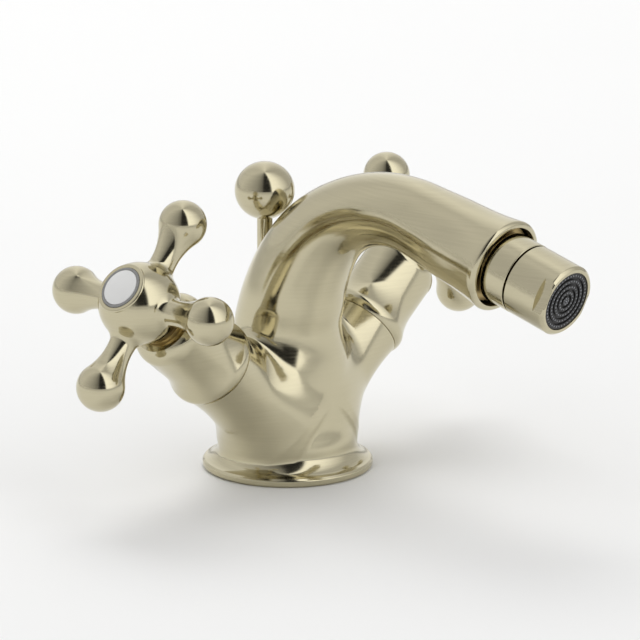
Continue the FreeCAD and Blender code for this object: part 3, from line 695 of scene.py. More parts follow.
    def patch(self) -> Patch:
        """Settled and trimmed net of the surface.

        Returns:
            The skin as a patch with the field's own normals.
        """
        points, quads = self._net()
        points = self._settle(points)
        points, faces = self._trimmed(points, quads)
        normals = self._slope(self.shape, points)
        if self.edge is not None:
            inner = self.edge(points) > self.shape(points) + self.LEAST_DISTANCE
            normals[inner] = self._slope(self.edge, points[inner])
        normals /= np.maximum(np.linalg.norm(normals, axis=1), self.LEAST_LENGTH)[:, None]
        return Patch(points, normals, faces)


def round_union(a: np.ndarray, b: np.ndarray, radius: float) -> np.ndarray:
    """Union of two fields with a round fillet.

    Args:
        a: Values of the first field.
        b: Values of the second field.
        radius: Radius of the fillet.

    Returns:
        Values of the union.
    """
    left, right = np.maximum(radius - a, 0), np.maximum(radius - b, 0)
    return np.maximum(radius, np.minimum(a, b)) - np.hypot(left, right)


class Nodes:
    """Small helper for building a node tree.

    Args:
        tree: Tree that the nodes go into.
    """

    def __init__(self, tree: bpy.types.NodeTree) -> None:
        self.tree = tree

    def add(self, kind: str, links: dict | None = None, **settings: object) -> bpy.types.Node:
        """Adds a node.

        Args:
            kind: Blender's name of the node type.
            links: Input name or number to an output socket or a value.
            settings: Properties of the node.

        Returns:
            The new node.
        """
        node = self.tree.nodes.new(kind)
        for key, value in settings.items():
            setattr(node, key, value)
        for key, value in (links or {}).items():
            socket = node.inputs[key]
            if isinstance(value, bpy.types.NodeSocket):
                self.tree.links.new(value, socket)
            else:
                socket.default_value = value
        return node


@dataclass(frozen=True)
class Finish:
    """Procedural surface: a colour that drifts a little, with grain in its colour, gloss and height.

    The grain's noise runs from its least to its greatest effect between NOISE_LOW and NOISE_HIGH.

    Args:
        slot: Material slot of the record; not used.
        colour: Main colour, linear.
        shade: Colour of the faint drift, linear.
        metallic: 1 for metal.
        roughness: Least and greatest roughness.
        drift_scale: Size of the colour drift, per metre.
        grain_scale: Grain per metre along X, Y and Z.
        grain_height: Height of the grain's bump, in metres.
        grain_share: Share of the colour that the grain takes away at its darkest.
        coat: Weight of a clear coat.
    """

    slot: Slot
    colour: Point
    shade: Point
    metallic: float
    roughness: tuple[float, float]
    drift_scale: float = 60.0
    grain_scale: Point = (900.0, 900.0, 900.0)
    grain_height: float = 0.0
    grain_share: float = 0.0
    coat: float = 0.0

    DRIFT_DETAIL = 3.0
    GRAIN_DETAIL = 2.0
    NOISE_LOW = 0.3
    NOISE_HIGH = 0.7

    def material(self, name: str) -> bpy.types.Material:
        """Builds the material.

        Args:
            name: Material's name.

        Returns:
            A material that reads only Object coordinates.
        """
        material = bpy.data.materials.new(name)
        material.use_nodes = True
        material.node_tree.nodes.clear()
        nodes = Nodes(material.node_tree)
        place = nodes.add("ShaderNodeTexCoord").outputs["Object"]
        drift = nodes.add("ShaderNodeTexNoise", {
            "Vector": place, "Scale": self.drift_scale, "Detail": self.DRIFT_DETAIL})
        stretch = nodes.add("ShaderNodeMapping", {"Vector": place, "Scale": self.grain_scale})
        grain = nodes.add("ShaderNodeTexNoise", {
            "Vector": stretch.outputs["Vector"], "Scale": 1.0, "Detail": self.GRAIN_DETAIL})
        tint = nodes.add("ShaderNodeMix", {
            "Factor": drift.outputs["Fac"], 6: (*self.colour, 1.0), 7: (*self.shade, 1.0)},
            data_type="RGBA")
        strokes = nodes.add("ShaderNodeMapRange", {
            "Value": grain.outputs["Fac"], "From Min": self.NOISE_LOW, "From Max": self.NOISE_HIGH,
            "To Min": 1.0 - self.grain_share, "To Max": 1.0})
        toned = nodes.add("ShaderNodeVectorMath", {
            0: tint.outputs[2], "Scale": strokes.outputs["Result"]}, operation="SCALE")
        gloss = nodes.add("ShaderNodeMapRange", {
            "Value": grain.outputs["Fac"], "From Min": self.NOISE_LOW, "From Max": self.NOISE_HIGH,
            "To Min": self.roughness[0], "To Max": self.roughness[1]})
        shader = nodes.add("ShaderNodeBsdfPrincipled", {
            "Base Color": toned.outputs["Vector"], "Metallic": self.metallic,
            "Roughness": gloss.outputs["Result"], "Coat Weight": self.coat})
        if self.grain_height > 0:
            bump = nodes.add("ShaderNodeBump", {
                "Height": grain.outputs["Fac"], "Distance": self.grain_height, "Strength": 1.0})
            material.node_tree.links.new(bump.outputs["Normal"], shader.inputs["Normal"])
        nodes.add("ShaderNodeOutputMaterial", {"Surface": shader.outputs["BSDF"]})
        return material


class Look(Enum):
    """Finishes that a piece can take: one for each slot, a near-black brass that paints shade into the
    spout's mouth and the stub behind the housing, and grey dots.
    """

    SATIN_BRASS = Finish(
        Slot.SATIN_BRASS, (0.60, 0.55, 0.39), (0.57, 0.52, 0.36), 1.0, (0.10, 0.17), drift_scale=40.0,
        grain_scale=(60.0, 60.0, 3600.0), grain_height=0.000003, grain_share=0.06)
    RAW_BRASS = Finish(Slot.RAW_BRASS, (0.55, 0.42, 0.20), (0.48, 0.36, 0.16), 1.0, (0.28, 0.42))
    # Near-black brass: painted shade for the spout's mouth and for the stub in the gap behind the housing,
    # with a rougher, unpolished gloss.
    DARK_BRASS = Finish(
        Slot.RAW_BRASS, (0.050, 0.036, 0.014), (0.034, 0.024, 0.010), 1.0, (0.45, 0.62),
        drift_scale=300.0, grain_scale=(1500.0, 1500.0, 1500.0), grain_height=0.00001)
    STEEL = Finish(Slot.STEEL, (0.56, 0.56, 0.55), (0.48, 0.48, 0.47), 1.0, (0.24, 0.38))
    RUBBER = Finish(Slot.RUBBER, (0.020, 0.020, 0.021), (0.030, 0.030, 0.030), 0.0, (0.55, 0.75))
    ACETAL = Finish(Slot.ACETAL, (0.76, 0.75, 0.71), (0.70, 0.69, 0.64), 0.0, (0.38, 0.50))
    DOT_GREY = Finish(
        Slot.ACETAL, (0.33, 0.34, 0.36), (0.22, 0.23, 0.25), 0.0, (0.30, 0.45), drift_scale=900.0)
    CERAMIC = Finish(Slot.CERAMIC, (0.80, 0.78, 0.72), (0.75, 0.72, 0.66), 0.0, (0.16, 0.24))
    INDEX_GREY = Finish(
        Slot.INDEX_GREY, (0.21, 0.21, 0.205), (0.25, 0.25, 0.245), 0.0, (0.24, 0.34), coat=0.2)
    INDEX_WHITE = Finish(
        Slot.INDEX_WHITE, (0.78, 0.78, 0.77), (0.74, 0.74, 0.73), 0.0, (0.16, 0.26), coat=0.3)
    AERATOR_BLACK = Finish(
        Slot.AERATOR_BLACK, (0.010, 0.010, 0.011), (0.016, 0.016, 0.016), 0.0, (0.40, 0.55))


class Finishes:
    """Materials of all looks, built once."""

    def __init__(self) -> None:
        self.by_look = {look: look.value.material(look.name.lower()) for look in Look}

    def __getitem__(self, look: Look) -> bpy.types.Material:
        """Material of a look.

        Args:
            look: Which finish.

        Returns:
            Its material.
        """
        return self.by_look[look]


class Assembly:
    """Group of pieces that is built and dressed together.

    Args:
        finishes: Materials of all looks.
    """

    def __init__(self, finishes: Finishes) -> None:
        self.finishes = finishes

    def show(self, patch: Patch, name: str, look: Look, body: Body, *nodes: str) -> None:
        """Puts a piece on its body, in place of CAD nodes if it stands for any.

        Args:
            patch: Surface of the piece, in the row frame.
            name: Name of the piece.
            look: Finish of the piece.
            body: Body that the piece rides on.
            nodes: CAD nodes that it stands for.
        """
        self.dress(patch.to_object(name, self.finishes[look]), look, body, *nodes)

    def dress(self, thing: bpy.types.Object, look: Look, body: Body, *nodes: str) -> None:
        """Puts a finished object on its body and hides the CAD nodes that it stands for.

        Args:
            thing: Object that already has its material.
            look: Finish of the object; not used.
            body: Body that it rides on.
            nodes: CAD nodes that it stands for.
        """
        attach(thing, body.value)
        if nodes:
            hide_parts(*nodes)
        points = len(thing.data.vertices)
        LOG.info("%s: %d points for %s", thing.name, points, ", ".join(nodes) or "no node")


@dataclass(frozen=True)
class CastingSizes:
    """Sizes of the body casting, as in the CAD part."""

    foot_radius: float = 26.0
    rim_height: float = 2.6
    rim_edge: float = 0.6
    rim_rounding: float = 0.5
    sole_rounding: float = 0.3
    waist_radius: float = 21.0
    waist_height: float = 8.0
    neck_height: float = 43.55
    neck_share: float = 0.786
    height_shares: tuple[float, ...] = (0.17, 0.34, 0.54, 0.77)
    depth_shares: tuple[float, ...] = (0.952, 0.914, 0.876, 0.829)
    width_shares: tuple[float, ...] = (0.995, 1.038, 1.024, 0.929)
    bend_radius: float = 43.0
    bend_angle: float = 105.3
    bend_shares: tuple[float, ...] = (0.115, 0.23, 0.345, 0.48, 0.615, 0.81, 1.0)
    tube_radius: float = 11.1
    tube_shares: tuple[float, ...] = (1.43, 1.345, 1.26, 1.135, 1.03, 0.986, 1.02)
    lean_shares: tuple[float, ...] = (0.11, 0.14, 0.126, 0.086, 0.06, 0.027, 0.0)
    run: float = 33.1
    run_shares: tuple[float, ...] = (0.36, 0.72)
    run_tube_shares: tuple[float, ...] = (1.1, 1.17)
    hood_radius: float = 14.3
    hood_edge: float = 1.3
    lip_rounding: float = 0.2
    mouth_radius: float = 12.35
    mouth_depth: float = 4.0
    socket_radius: float = 10.6
    tilt: float = 51.0
    cross_height: float = 11.4
    arm_depth_share: float = 0.444
    arm_root_share: float = 0.772
    arm_least_station: float = 33.0
    arm_least_radius: float = 12.4
    arm_end: float = 41.6
    arm_chamfer: float = 0.2
    arm_fillet: float = 4.96
    valve_bore: float = 9.6
    rod_offset: float = 9.3
    rod_hole: float = 1.6
    gasket_inner: float = 21.45
    gasket_outer: float = 24.35
    gasket_depth: float = 2.0
    gasket_rounding: float = 0.1

    def valve_axis(self, side: Side) -> Axis:
        """Axis of a valve.

        Args:
            side: Which valve.

        Returns:
            The valve's local frame.
        """
        return Axis((0.0, 0.0, self.cross_height), Turn.Y, side.value * self.tilt)

    @property
    def outlet_axis(self) -> Axis:
        """Axis of the outlet, from the middle of the spout's end face.

        Returns:
            The outlet's local frame.
        """
        turn = math.radians(self.bend_angle)
        y = -self.bend_radius * (1 - math.cos(turn)) - self.run * math.sin(turn)
        z = self.neck_height + self.bend_radius * math.sin(turn) + self.run * math.cos(turn)
        return Axis((0.0, y, z), Turn.X, self.bend_angle)


class Casting(Assembly):
    """Foot, body, arms and spout as one polished skin.

    The skin is netted within its box and cut at the three cuts, and turned ends go on from there. Its
    fields run on past those cuts by their margins.

    Args:
        finishes: Materials of all looks.
        sizes: Sizes of the casting.
    """

    MESH = 0.72
    BOX_LOW = (-46.0, -90.0, 0.3)
    BOX_HIGH = (46.0, 28.0, 99.0)
    FOOT_CUT = 3.4
    FOOT_REACH = 60.0
    FOOT_DEPTH = 4.0
    FOOT_MARGIN = 1.0
    ARM_CUT = 40.6
    ARM_REACH = 16.0
    ARM_CURVE_MARGIN = 4.0
    HOOD_CUT = -3.0
    HOOD_REACH = 18.0
    END_DEPTH = 5.0
    END_MARGIN = 2.0
    LIP_DEPTH = 0.35
    SOCKET_SHOWN = 6.0
    BORE_SHOWN = 6.0
    HOLE_FLOOR = 48.0
    LEAST_SHARE = 1e-6

    def __init__(self, finishes: Finishes, sizes: CastingSizes) -> None:
        super().__init__(finishes)
        self.sizes = sizes
        s = sizes
        self.bend_turn = math.radians(s.bend_angle)
        self.bend_end = s.neck_height + s.bend_radius * self.bend_turn
        body = s.neck_height - s.waist_height
        stations = [s.waist_height + share * body for share in (0.0, *s.height_shares, 1.0)]
        stations += [s.neck_height + share * self.bend_turn * s.bend_radius for share in s.bend_shares]
        stations += [self.bend_end + share * s.run for share in (*s.run_shares, 1.0)]
        tail = [share * s.tube_radius for share in (*s.tube_shares, *s.run_tube_shares)] + [s.hood_radius]
        neck = s.neck_share * s.waist_radius
        depths = [s.waist_radius * share for share in (1.0, *s.depth_shares)] + [neck]
        widths = [s.waist_radius * share for share in (1.0, *s.width_shares)] + [neck]
        self.depth = Spline(stations, depths + tail)
        self.width = Spline(stations, widths + tail)
        leans = [0.0] * len(depths) + [share * s.tube_radius for share in s.lean_shares]
        self.lean = Spline(stations, leans + [0.0] * (len(stations) - len(leans)))
        rim = s.foot_radius - s.rim_edge
        rise = s.waist_height - s.rim_height
        self.flare = ((rim - s.waist_radius) ** 2 + rise ** 2) / (2 * (rim - s.waist_radius))
        self.arm_root = s.arm_depth_share * s.waist_radius / math.sin(math.radians(s.tilt))
        swell = s.arm_root_share * s.waist_radius - s.arm_least_radius
        self.arm_curve = ((s.arm_least_station - self.arm_root) ** 2 + swell ** 2) / (2 * swell)

    def flare_radius(self, height: np.ndarray) -> np.ndarray:
        """Radius of the foot's hollow flare.

        Args:
            height: Heights below the waist.

        Returns:
            The flare's radius there.
        """
        s = self.sizes
        drop = np.clip(s.waist_height - height, 0, s.waist_height - s.rim_height)
        return self.flare - np.sqrt(self.flare ** 2 - drop ** 2)

    def arm_radius(self, station: np.ndarray) -> np.ndarray:
        """Radius of an arm.

        Args:
            station: Stations along the arm.

        Returns:
            The arm's radius there.
        """
        s = self.sizes
        away = np.clip(station, self.arm_root, s.arm_end + self.ARM_CURVE_MARGIN) - s.arm_least_station
        return s.arm_least_radius + self.arm_curve - np.sqrt(self.arm_curve ** 2 - away ** 2)

    def swan_field(self, points: np.ndarray) -> np.ndarray:
        """Field of the foot, body and spout.

        Args:
            points: Points of the row frame.

        Returns:
            Distance from the surface, negative inside.
        """
        s = self.sizes
        x, y, z = points.T
        up = z - s.neck_height
        turn = np.arctan2(up, y + s.bend_radius)
        turn = np.where(up < 0, 0, turn)
        axis = s.outlet_axis
        straight = axis.local(points)
        on_run = turn > self.bend_turn
        on_bend = (up > 0) & ~on_run
        station = np.where(on_bend, s.neck_height + turn * s.bend_radius, z)
        station = np.where(on_run, self.bend_end + s.run + straight[:, 2], station)
        across = np.where(on_bend, np.hypot(up, y + s.bend_radius) - s.bend_radius, y)
        across = np.where(on_run, straight[:, 1], across) + self.lean(station)
        spread = self.flare_radius(station)
        width, depth = self.width(station) + spread, self.depth(station) + spread
        reach = np.hypot(x, across)
        share = np.maximum(np.hypot(x / width, across / depth), self.LEAST_SHARE)
        side = reach * (1 - 1 / share)
        return np.maximum(side, np.maximum(-z - self.FOOT_MARGIN, straight[:, 2] - self.END_MARGIN))

    def arm_field(self, points: np.ndarray) -> np.ndarray:
        """Field of both valve arms.

        Args:
            points: Points of the row frame.

        Returns:
            Distance from the surface, negative inside.
        """
        mirrored = points.copy()
        mirrored[:, 0] = np.abs(mirrored[:, 0])
        local = self.sizes.valve_axis(Side.COLD).local(mirrored)
        side = np.hypot(local[:, 0], local[:, 1]) - self.arm_radius(local[:, 2])
        beyond = local[:, 2] - self.sizes.arm_end - self.END_MARGIN
        return np.maximum(side, np.maximum(self.arm_root - local[:, 2], beyond))

    def field(self, points: np.ndarray) -> np.ndarray:
        """Field of the whole casting.

        Args:
            points: Points of the row frame.

        Returns:
            Distance from the surface, negative inside.
        """
        return round_union(self.swan_field(points), self.arm_field(points), self.sizes.arm_fillet)

    def hole_field(self, points: np.ndarray) -> np.ndarray:
        """Field of everything outside the lift rod's hole.

        Args:
            points: Points of the row frame.

        Returns:
            Distance from the hole, positive inside it.
        """
        away = np.hypot(points[:, 0], points[:, 1] - self.sizes.rod_offset)
        return np.minimum(self.sizes.rod_hole - away, points[:, 2] - self.HOLE_FLOOR)

    def foot_end(self) -> Patch:
        """Rim and underside of the foot.

        Returns:
            The turned end below the skin's cut.
        """
        s = self.sizes
        rim = s.foot_radius - s.rim_edge
        low = s.waist_radius + float(self.flare_radius(np.array(self.FOOT_CUT)))
        between = (self.FOOT_CUT + s.rim_height) / 2
        middle = s.waist_radius + float(self.flare_radius(np.array(between)))
        outline = Profile(0.0, 0.0)
        outline.line(s.gasket_inner, 0.0, s.gasket_rounding).line(s.gasket_inner, s.gasket_depth)
        outline.line(s.gasket_outer, s.gasket_depth).line(s.gasket_outer, 0.0, s.gasket_rounding)
        outline.line(rim, 0.0, s.sole_rounding).line(s.foot_radius, s.rim_edge, s.rim_rounding)
        outline.line(s.foot_radius, s.rim_height - s.rim_edge, s.rim_rounding)
        outline.line(rim, s.rim_height).arc((middle, between), low, self.FOOT_CUT)
        return outline.patch(Fineness.FOOT)

    def arm_tip(self) -> Patch:
        """End of an arm past the skin's cut, on the arm's axis.

        Returns:
            The turned end.
        """
        s = self.sizes
        edge = s.arm_end - s.arm_chamfer
        between = (self.ARM_CUT + s.arm_end - s.arm_chamfer) / 2
        radii = self.arm_radius(np.array([self.ARM_CUT, between, edge]))
        low, middle, high = (float(radius) for radius in radii)
        outline = Profile(low, self.ARM_CUT).arc((middle, between), high, edge)
        outline.line(high - s.arm_chamfer, s.arm_end).line(s.valve_bore, s.arm_end)
        outline.line(s.valve_bore, s.arm_end - self.BORE_SHOWN)
        return outline.patch()

    def hood_end(self) -> Patch:
        """Rounded end of the spout and the lip of its mouth, on the outlet's axis.

        Returns:
            The turned end.
        """
        s = self.sizes
        end = self.bend_end + s.run
        stops = [self.HOOD_CUT, (self.HOOD_CUT - s.hood_edge) / 2, -s.hood_edge]
        radii = [float(self.depth(np.array(end + stop))) for stop in stops]
        lip = radii[2] - s.hood_edge
        outline = Profile(radii[0], stops[0])
        outline.arc((radii[1], stops[1]), radii[2], stops[2])
        outline.arc((lip + s.hood_edge * DIAGONAL, (DIAGONAL - 1) * s.hood_edge), lip, 0.0)
        outline.line(s.mouth_radius, 0.0, s.lip_rounding).line(s.mouth_radius, -self.LIP_DEPTH)
        return outline.patch()

    def mouth(self) -> Patch:
        """Rough inside of the spout's end, with its shade painted in as near-black brass, on the outlet's
        axis.

        Returns:
            The turned wall and floor of the mouth.
        """
        s = self.sizes
        outline = Profile(s.mouth_radius, -self.LIP_DEPTH).line(s.mouth_radius, -s.mouth_depth)
        outline.line(s.socket_radius, -s.mouth_depth)
        outline.line(s.socket_radius, -s.mouth_depth - self.SOCKET_SHOWN)
        return outline.patch()

    def build(self) -> None:
        """Makes the casting and shows it in place of its CAD node."""
        s = self.sizes
        foot_radius = s.waist_radius + float(self.flare_radius(np.array(self.FOOT_CUT)))
        arm_radius = float(self.arm_radius(np.array(self.ARM_CUT)))
        hood_radius = float(self.depth(np.array(self.bend_end + s.run + self.HOOD_CUT)))
        trims = [Trim(DOWN, -self.FOOT_CUT, foot_radius, self.FOOT_REACH, self.FOOT_DEPTH)]
        for side in Side:
            trims.append(Trim(s.valve_axis(side), self.ARM_CUT, arm_radius, self.ARM_REACH, self.END_DEPTH))
        trims.append(Trim(s.outlet_axis, self.HOOD_CUT, hood_radius, self.HOOD_REACH, self.END_DEPTH))
        skin = Skin(self.field, self.BOX_LOW, self.BOX_HIGH, self.MESH, tuple(trims), self.hole_field)
        patches = [skin.patch(), self.foot_end(), self.hood_end().placed(s.outlet_axis)]
        patches += [self.arm_tip().placed(s.valve_axis(side)) for side in Side]
        self.show(Patch.joined(patches), "casting_skin", Look.SATIN_BRASS, Body.MIXER, "body_casting")
        # The mouth's wall and floor take painted shade.
        self.show(self.mouth().placed(s.outlet_axis), "casting_mouth", Look.DARK_BRASS, Body.MIXER)


@dataclass(frozen=True)
class ValveSizes:
    """Sizes of a bonnet and a handle, by stations of the valve's axis."""

    base: float = 41.6
    base_radius: float = 13.1
    base_width: float = 1.2
    bead_radius: float = 13.75
    bead_height: float = 4.0
    bonnet_radius: float = 11.75
    flare_height: float = 12.0
    shoulder_height: float = 21.6
    bonnet_height: float = 27.0
    bonnet_top_radius: float = 9.4
    neck_radius: float = 7.15
    neck_rounding: float = 0.2
    neck_shown: float = 2.0
    hub_bottom: float = 73.0
    hub_top: float = 91.0
    hub_bottom_radius: float = 9.4
    hub_bottom_edge: float = 0.5
    hub_bottom_rounding: float = 0.2
    hub_barrel_radius: float = 12.1
    hub_barrel_share: float = 0.39
    hub_top_radius: float = 8.0
    hub_top_edge: float = 0.6
    hub_hollow_radius: float = 8.4
    hub_hollow_depth: float = 1.2
    hub_hollow_rounding: float = 0.3
    hub_hollow_edge: float = 0.1
    spindle_hole: float = 3.6
    screw_hole: float = 4.6
    arm_station: float = 79.9
    arm_reach: float = 27.4
    ball_radius: float = 7.17
    arm_neck_radius: float = 3.9
    arm_neck_share: float = 0.545
    arm_root_fillet: float = 1.6
    index_radius: float = 6.5
    index_ring: float = 0.85
    index_gap: float = 0.05
    index_rounding: float = 0.2
    index_seat: float = 89.4
    index_rise: float = 0.2
    index_dome: float = 0.5


class Valve(Assembly):
    """Bonnet, cross handle and index button of one side.

    The handle's skin is netted within its box and cut near both ends of the hub. Its field runs on past
    those cuts by its margins.

    Args:
        finishes: Materials of all looks.
        sizes: Sizes of the valve's pieces.
        casting: Sizes of the casting, for the valve's axis.
        side: Which valve.
    """

    MESH = 0.48
    BOX_BOTTOM = 71.0
    BOX_TOP = 92.5
    BOX_MARGIN = 1.0
    TOP_CUT = 1.2
    LOW_CUT = 0.3
    CUT_REACH = 14.0
    CUT_DEPTH = 3.0
    CURVE_MARGIN = 1.0
    END_MARGIN = 2.0

    def __init__(self, finishes: Finishes, sizes: ValveSizes, casting: CastingSizes, side: Side) -> None:
        super().__init__(finishes)
        self.sizes = sizes
        self.side = side
        self.axis = casting.valve_axis(side)
        s = sizes
        self.low = s.hub_bottom + s.hub_bottom_edge
        self.edge = s.hub_top - s.hub_top_edge
        barrel = (s.hub_barrel_radius, self.low + s.hub_barrel_share * (self.edge - self.low))
        self.barrel_centre, self.barrel_curve = Profile.circle(
            (s.hub_bottom_radius, self.low), barrel, (s.hub_top_radius, self.edge))
        self.arm_neck = s.arm_neck_share * s.arm_reach
        gap = s.arm_reach - self.arm_neck
        self.sweep = (gap ** 2 + s.arm_neck_radius ** 2 - s.ball_radius ** 2) / (
            2 * (s.ball_radius - s.arm_neck_radius))

    def hub_radius(self, station: np.ndarray) -> np.ndarray:
        """Radius of the hub's barrel.

        Args:
            station: Stations along the valve's axis.

        Returns:
            The hub's radius there.
        """
        low, high = self.low - self.CURVE_MARGIN, self.edge + self.CURVE_MARGIN
        away = np.clip(station, low, high) - self.barrel_centre[1]
        return self.barrel_centre[0] + np.sqrt(self.barrel_curve ** 2 - away ** 2)

    def handle_field(self, points: np.ndarray) -> np.ndarray:
        """Field of the hub and its four arms, on the valve's axis.

        Args:
            points: Local points.

        Returns:
            Distance from the surface, negative inside.
        """
        s = self.sizes
        x, y, z = points.T
        hub = np.hypot(x, y) - self.hub_radius(z)
        ends = np.maximum(self.low - self.END_MARGIN - z, z - self.edge - self.END_MARGIN)
        hub = np.maximum(hub, ends)
        along = np.maximum(np.abs(x), np.abs(y))
        across = np.hypot(np.minimum(np.abs(x), np.abs(y)), z - s.arm_station)
        ball = np.hypot(along - s.arm_reach, across) - s.ball_radius
        centre = s.arm_neck_radius + self.sweep
        waist = self.sweep - np.hypot(along - self.arm_neck, across - centre)
        lean = (self.arm_neck - s.arm_reach) * across - centre * (along - s.arm_reach)
        arm = np.where(lean > 0, waist, ball)
        return round_union(hub, arm, s.arm_root_fillet)

    def handle(self) -> Patch:
        """Cross handle, on the valve's axis.

        Returns:
            The handle's skin with its turned ends.
        """
        s = self.sizes
        top_cut, low_cut = self.edge - self.TOP_CUT, self.low + self.LOW_CUT
        top_radius, low_radius = (float(self.hub_radius(np.array(cut))) for cut in (top_cut, low_cut))
        trims = (
            Trim(Axis(), top_cut, top_radius, self.CUT_REACH, self.CUT_DEPTH),
            Trim(DOWN, -low_cut, low_radius, self.CUT_REACH, self.CUT_DEPTH))
        far = s.arm_reach + s.ball_radius + self.BOX_MARGIN
        low, high = (-far, -far, self.BOX_BOTTOM), (far, far, self.BOX_TOP)
        skin = Skin(self.handle_field, low, high, self.MESH, trims).patch()
        bottom = Profile(s.spindle_hole, s.hub_bottom + s.hub_hollow_depth)
        bottom.line(s.hub_hollow_radius, s.hub_bottom + s.hub_hollow_depth, s.hub_hollow_rounding)
        bottom.line(s.hub_hollow_radius, s.hub_bottom, s.hub_hollow_edge)
        bottom.line(s.hub_bottom_radius - s.hub_bottom_edge, s.hub_bottom, s.hub_bottom_rounding)
        bottom.line(s.hub_bottom_radius, self.low).line(low_radius, low_cut)
        middle = (top_cut + self.edge) / 2
        top = Profile(top_radius, top_cut)
        top.arc((float(self.hub_radius(np.array(middle))), middle), s.hub_top_radius, self.edge)
        bow = s.hub_top_edge * DIAGONAL
        top.arc((s.hub_top_radius - s.hub_top_edge + bow, self.edge + bow),
                s.hub_top_radius - s.hub_top_edge, s.hub_top)
        wall = s.index_radius + s.index_gap
        top.line(wall, s.hub_top, s.index_rounding).line(wall, s.index_seat)
        top.line(s.screw_hole, s.index_seat)
        return Patch.joined([skin, bottom.patch(), top.patch()])

    def bonnet(self) -> Patch:
        """Bonnet, on the valve's axis.

        Returns:
            The turned bonnet.
        """
        s = self.sizes
        bead_top, flare_top = s.base + s.bead_height, s.base + s.flare_height
        shoulder, top = s.base + s.shoulder_height, s.base + s.bonnet_height
        bead_end = (s.base_radius + s.bead_radius) / 2
        swell, tall = bead_end - s.bonnet_radius, flare_top - bead_top
        curve = (swell ** 2 + tall ** 2) / (2 * swell)
        half_turn = math.asin(tall / curve) / 2
        middle = (
            s.bonnet_radius + curve * (1 - math.cos(half_turn)), flare_top - curve * math.sin(half_turn))
        inset, rise = s.bonnet_radius - s.bonnet_top_radius, top - shoulder
        bow = (s.bonnet_top_radius + inset * DIAGONAL, shoulder + rise * DIAGONAL)
        outline = Profile(s.base_radius - s.base_width, s.base).line(s.base_radius, s.base)
        outline.arc((s.bead_radius, s.base + s.bead_height / 2), bead_end, bead_top)
        outline.arc(middle, s.bonnet_radius, flare_top)
        outline.line(s.bonnet_radius, shoulder).arc(bow, s.bonnet_top_radius, top)
        outline.line(s.neck_radius, top, s.neck_rounding).line(s.neck_radius, top - s.neck_shown)
        return outline.patch()

    def index(self) -> tuple[Patch, Patch]:
        """Index button, on the valve's axis.

        Returns:
            Its ring and its bare disc.
        """
        s = self.sizes
        inner, edge = s.index_radius - s.index_ring, s.hub_top + s.index_rise
        ring = Profile(s.index_radius, s.index_seat)
        ring.line(s.index_radius, edge, s.index_rounding).line(inner, edge, s.index_rounding)
        ring.line(inner, s.index_seat)
        radius, crown = inner - s.index_gap, edge + s.index_dome
        bulge = (radius ** 2 + s.index_dome ** 2) / (2 * s.index_dome)
        half = math.asin(radius / bulge) / 2
        disc = Profile(radius, s.index_seat).line(radius, edge)
        disc.arc((bulge * math.sin(half), crown - bulge * (1 - math.cos(half))), 0.0, crown)
        return ring.patch(Fineness.BUTTON), disc.patch(Fineness.BUTTON)

    def build(self) -> None:
        """Makes the valve's pieces and shows them in place of their CAD nodes."""
        start = self.side.prefix
        ring, disc = self.index()
        pieces = (
            (self.bonnet(), "bonnet", Look.SATIN_BRASS, Body.MIXER),
            (self.handle(), "handle", Look.SATIN_BRASS, self.side.body),
            (ring, "index_ring", Look.INDEX_GREY, self.side.body),
            (disc, "index_disc", Look.INDEX_WHITE, self.side.body))
        for patch, name, look, body in pieces:
            self.show(patch.placed(self.axis), start + name + "_skin", look, body, start + name)


@dataclass(frozen=True)
class LiftSizes:
    """Sizes of the lift rod and its knob."""

    offset: float = 9.3
    rod_radius: float = 2.35
    rod_bore: float = 1.65
    rod_rounding: float = 0.3
    foot: float = 1.0
    knob_height: float = 84.28
    knob_radius: float = 9.1
    knob_half_height: float = 8.8
    flat_radius: float = 2.8


class Lift(Assembly):
    """Lift rod and knob.

    Args:
        finishes: Materials of all looks.
        sizes: Sizes of the rod and the knob.
    """

    KNOB_POINTS = 72

    def __init__(self, finishes: Finishes, sizes: LiftSizes) -> None:
        super().__init__(finishes)
        self.sizes = sizes
        self.knob_start = math.acos(sizes.flat_radius / sizes.knob_radius)
        self.knob_bottom = sizes.knob_height - sizes.knob_half_height * math.sin(self.knob_start)

    def knob(self) -> Patch:
        """Flattened ball with a flat where the rod meets it.

        Returns:
            The turned knob.
        """
        s = self.sizes
        outline = Profile(s.rod_radius, self.knob_bottom).line(s.flat_radius, self.knob_bottom)
        for angle in np.linspace(-self.knob_start, math.pi / 2, self.KNOB_POINTS)[1:]:
            radius = s.knob_radius * max(math.cos(angle), 0.0)
            outline.line(radius, s.knob_height + s.knob_half_height * math.sin(angle))
        return outline.patch()

    def rod(self) -> Patch:
        """Straight rod.

        Returns:
            The turned rod, up to the knob's flat.
        """
        s = self.sizes
        outline = Profile(s.rod_bore, s.foot).line(s.rod_radius, s.foot, s.rod_rounding)
        return outline.line(s.rod_radius, self.knob_bottom).patch(Fineness.ROD)

    def build(self) -> None:
        """Makes the rod and the knob and shows them in place of their CAD nodes."""
        axis = Axis((0.0, self.sizes.offset, 0.0))
        self.show(self.rod().placed(axis), "lift_rod_skin", Look.SATIN_BRASS, Body.LIFT, "lift_rod")
        self.show(self.knob().placed(axis), "lift_knob_skin", Look.SATIN_BRASS, Body.LIFT, "lift_knob")


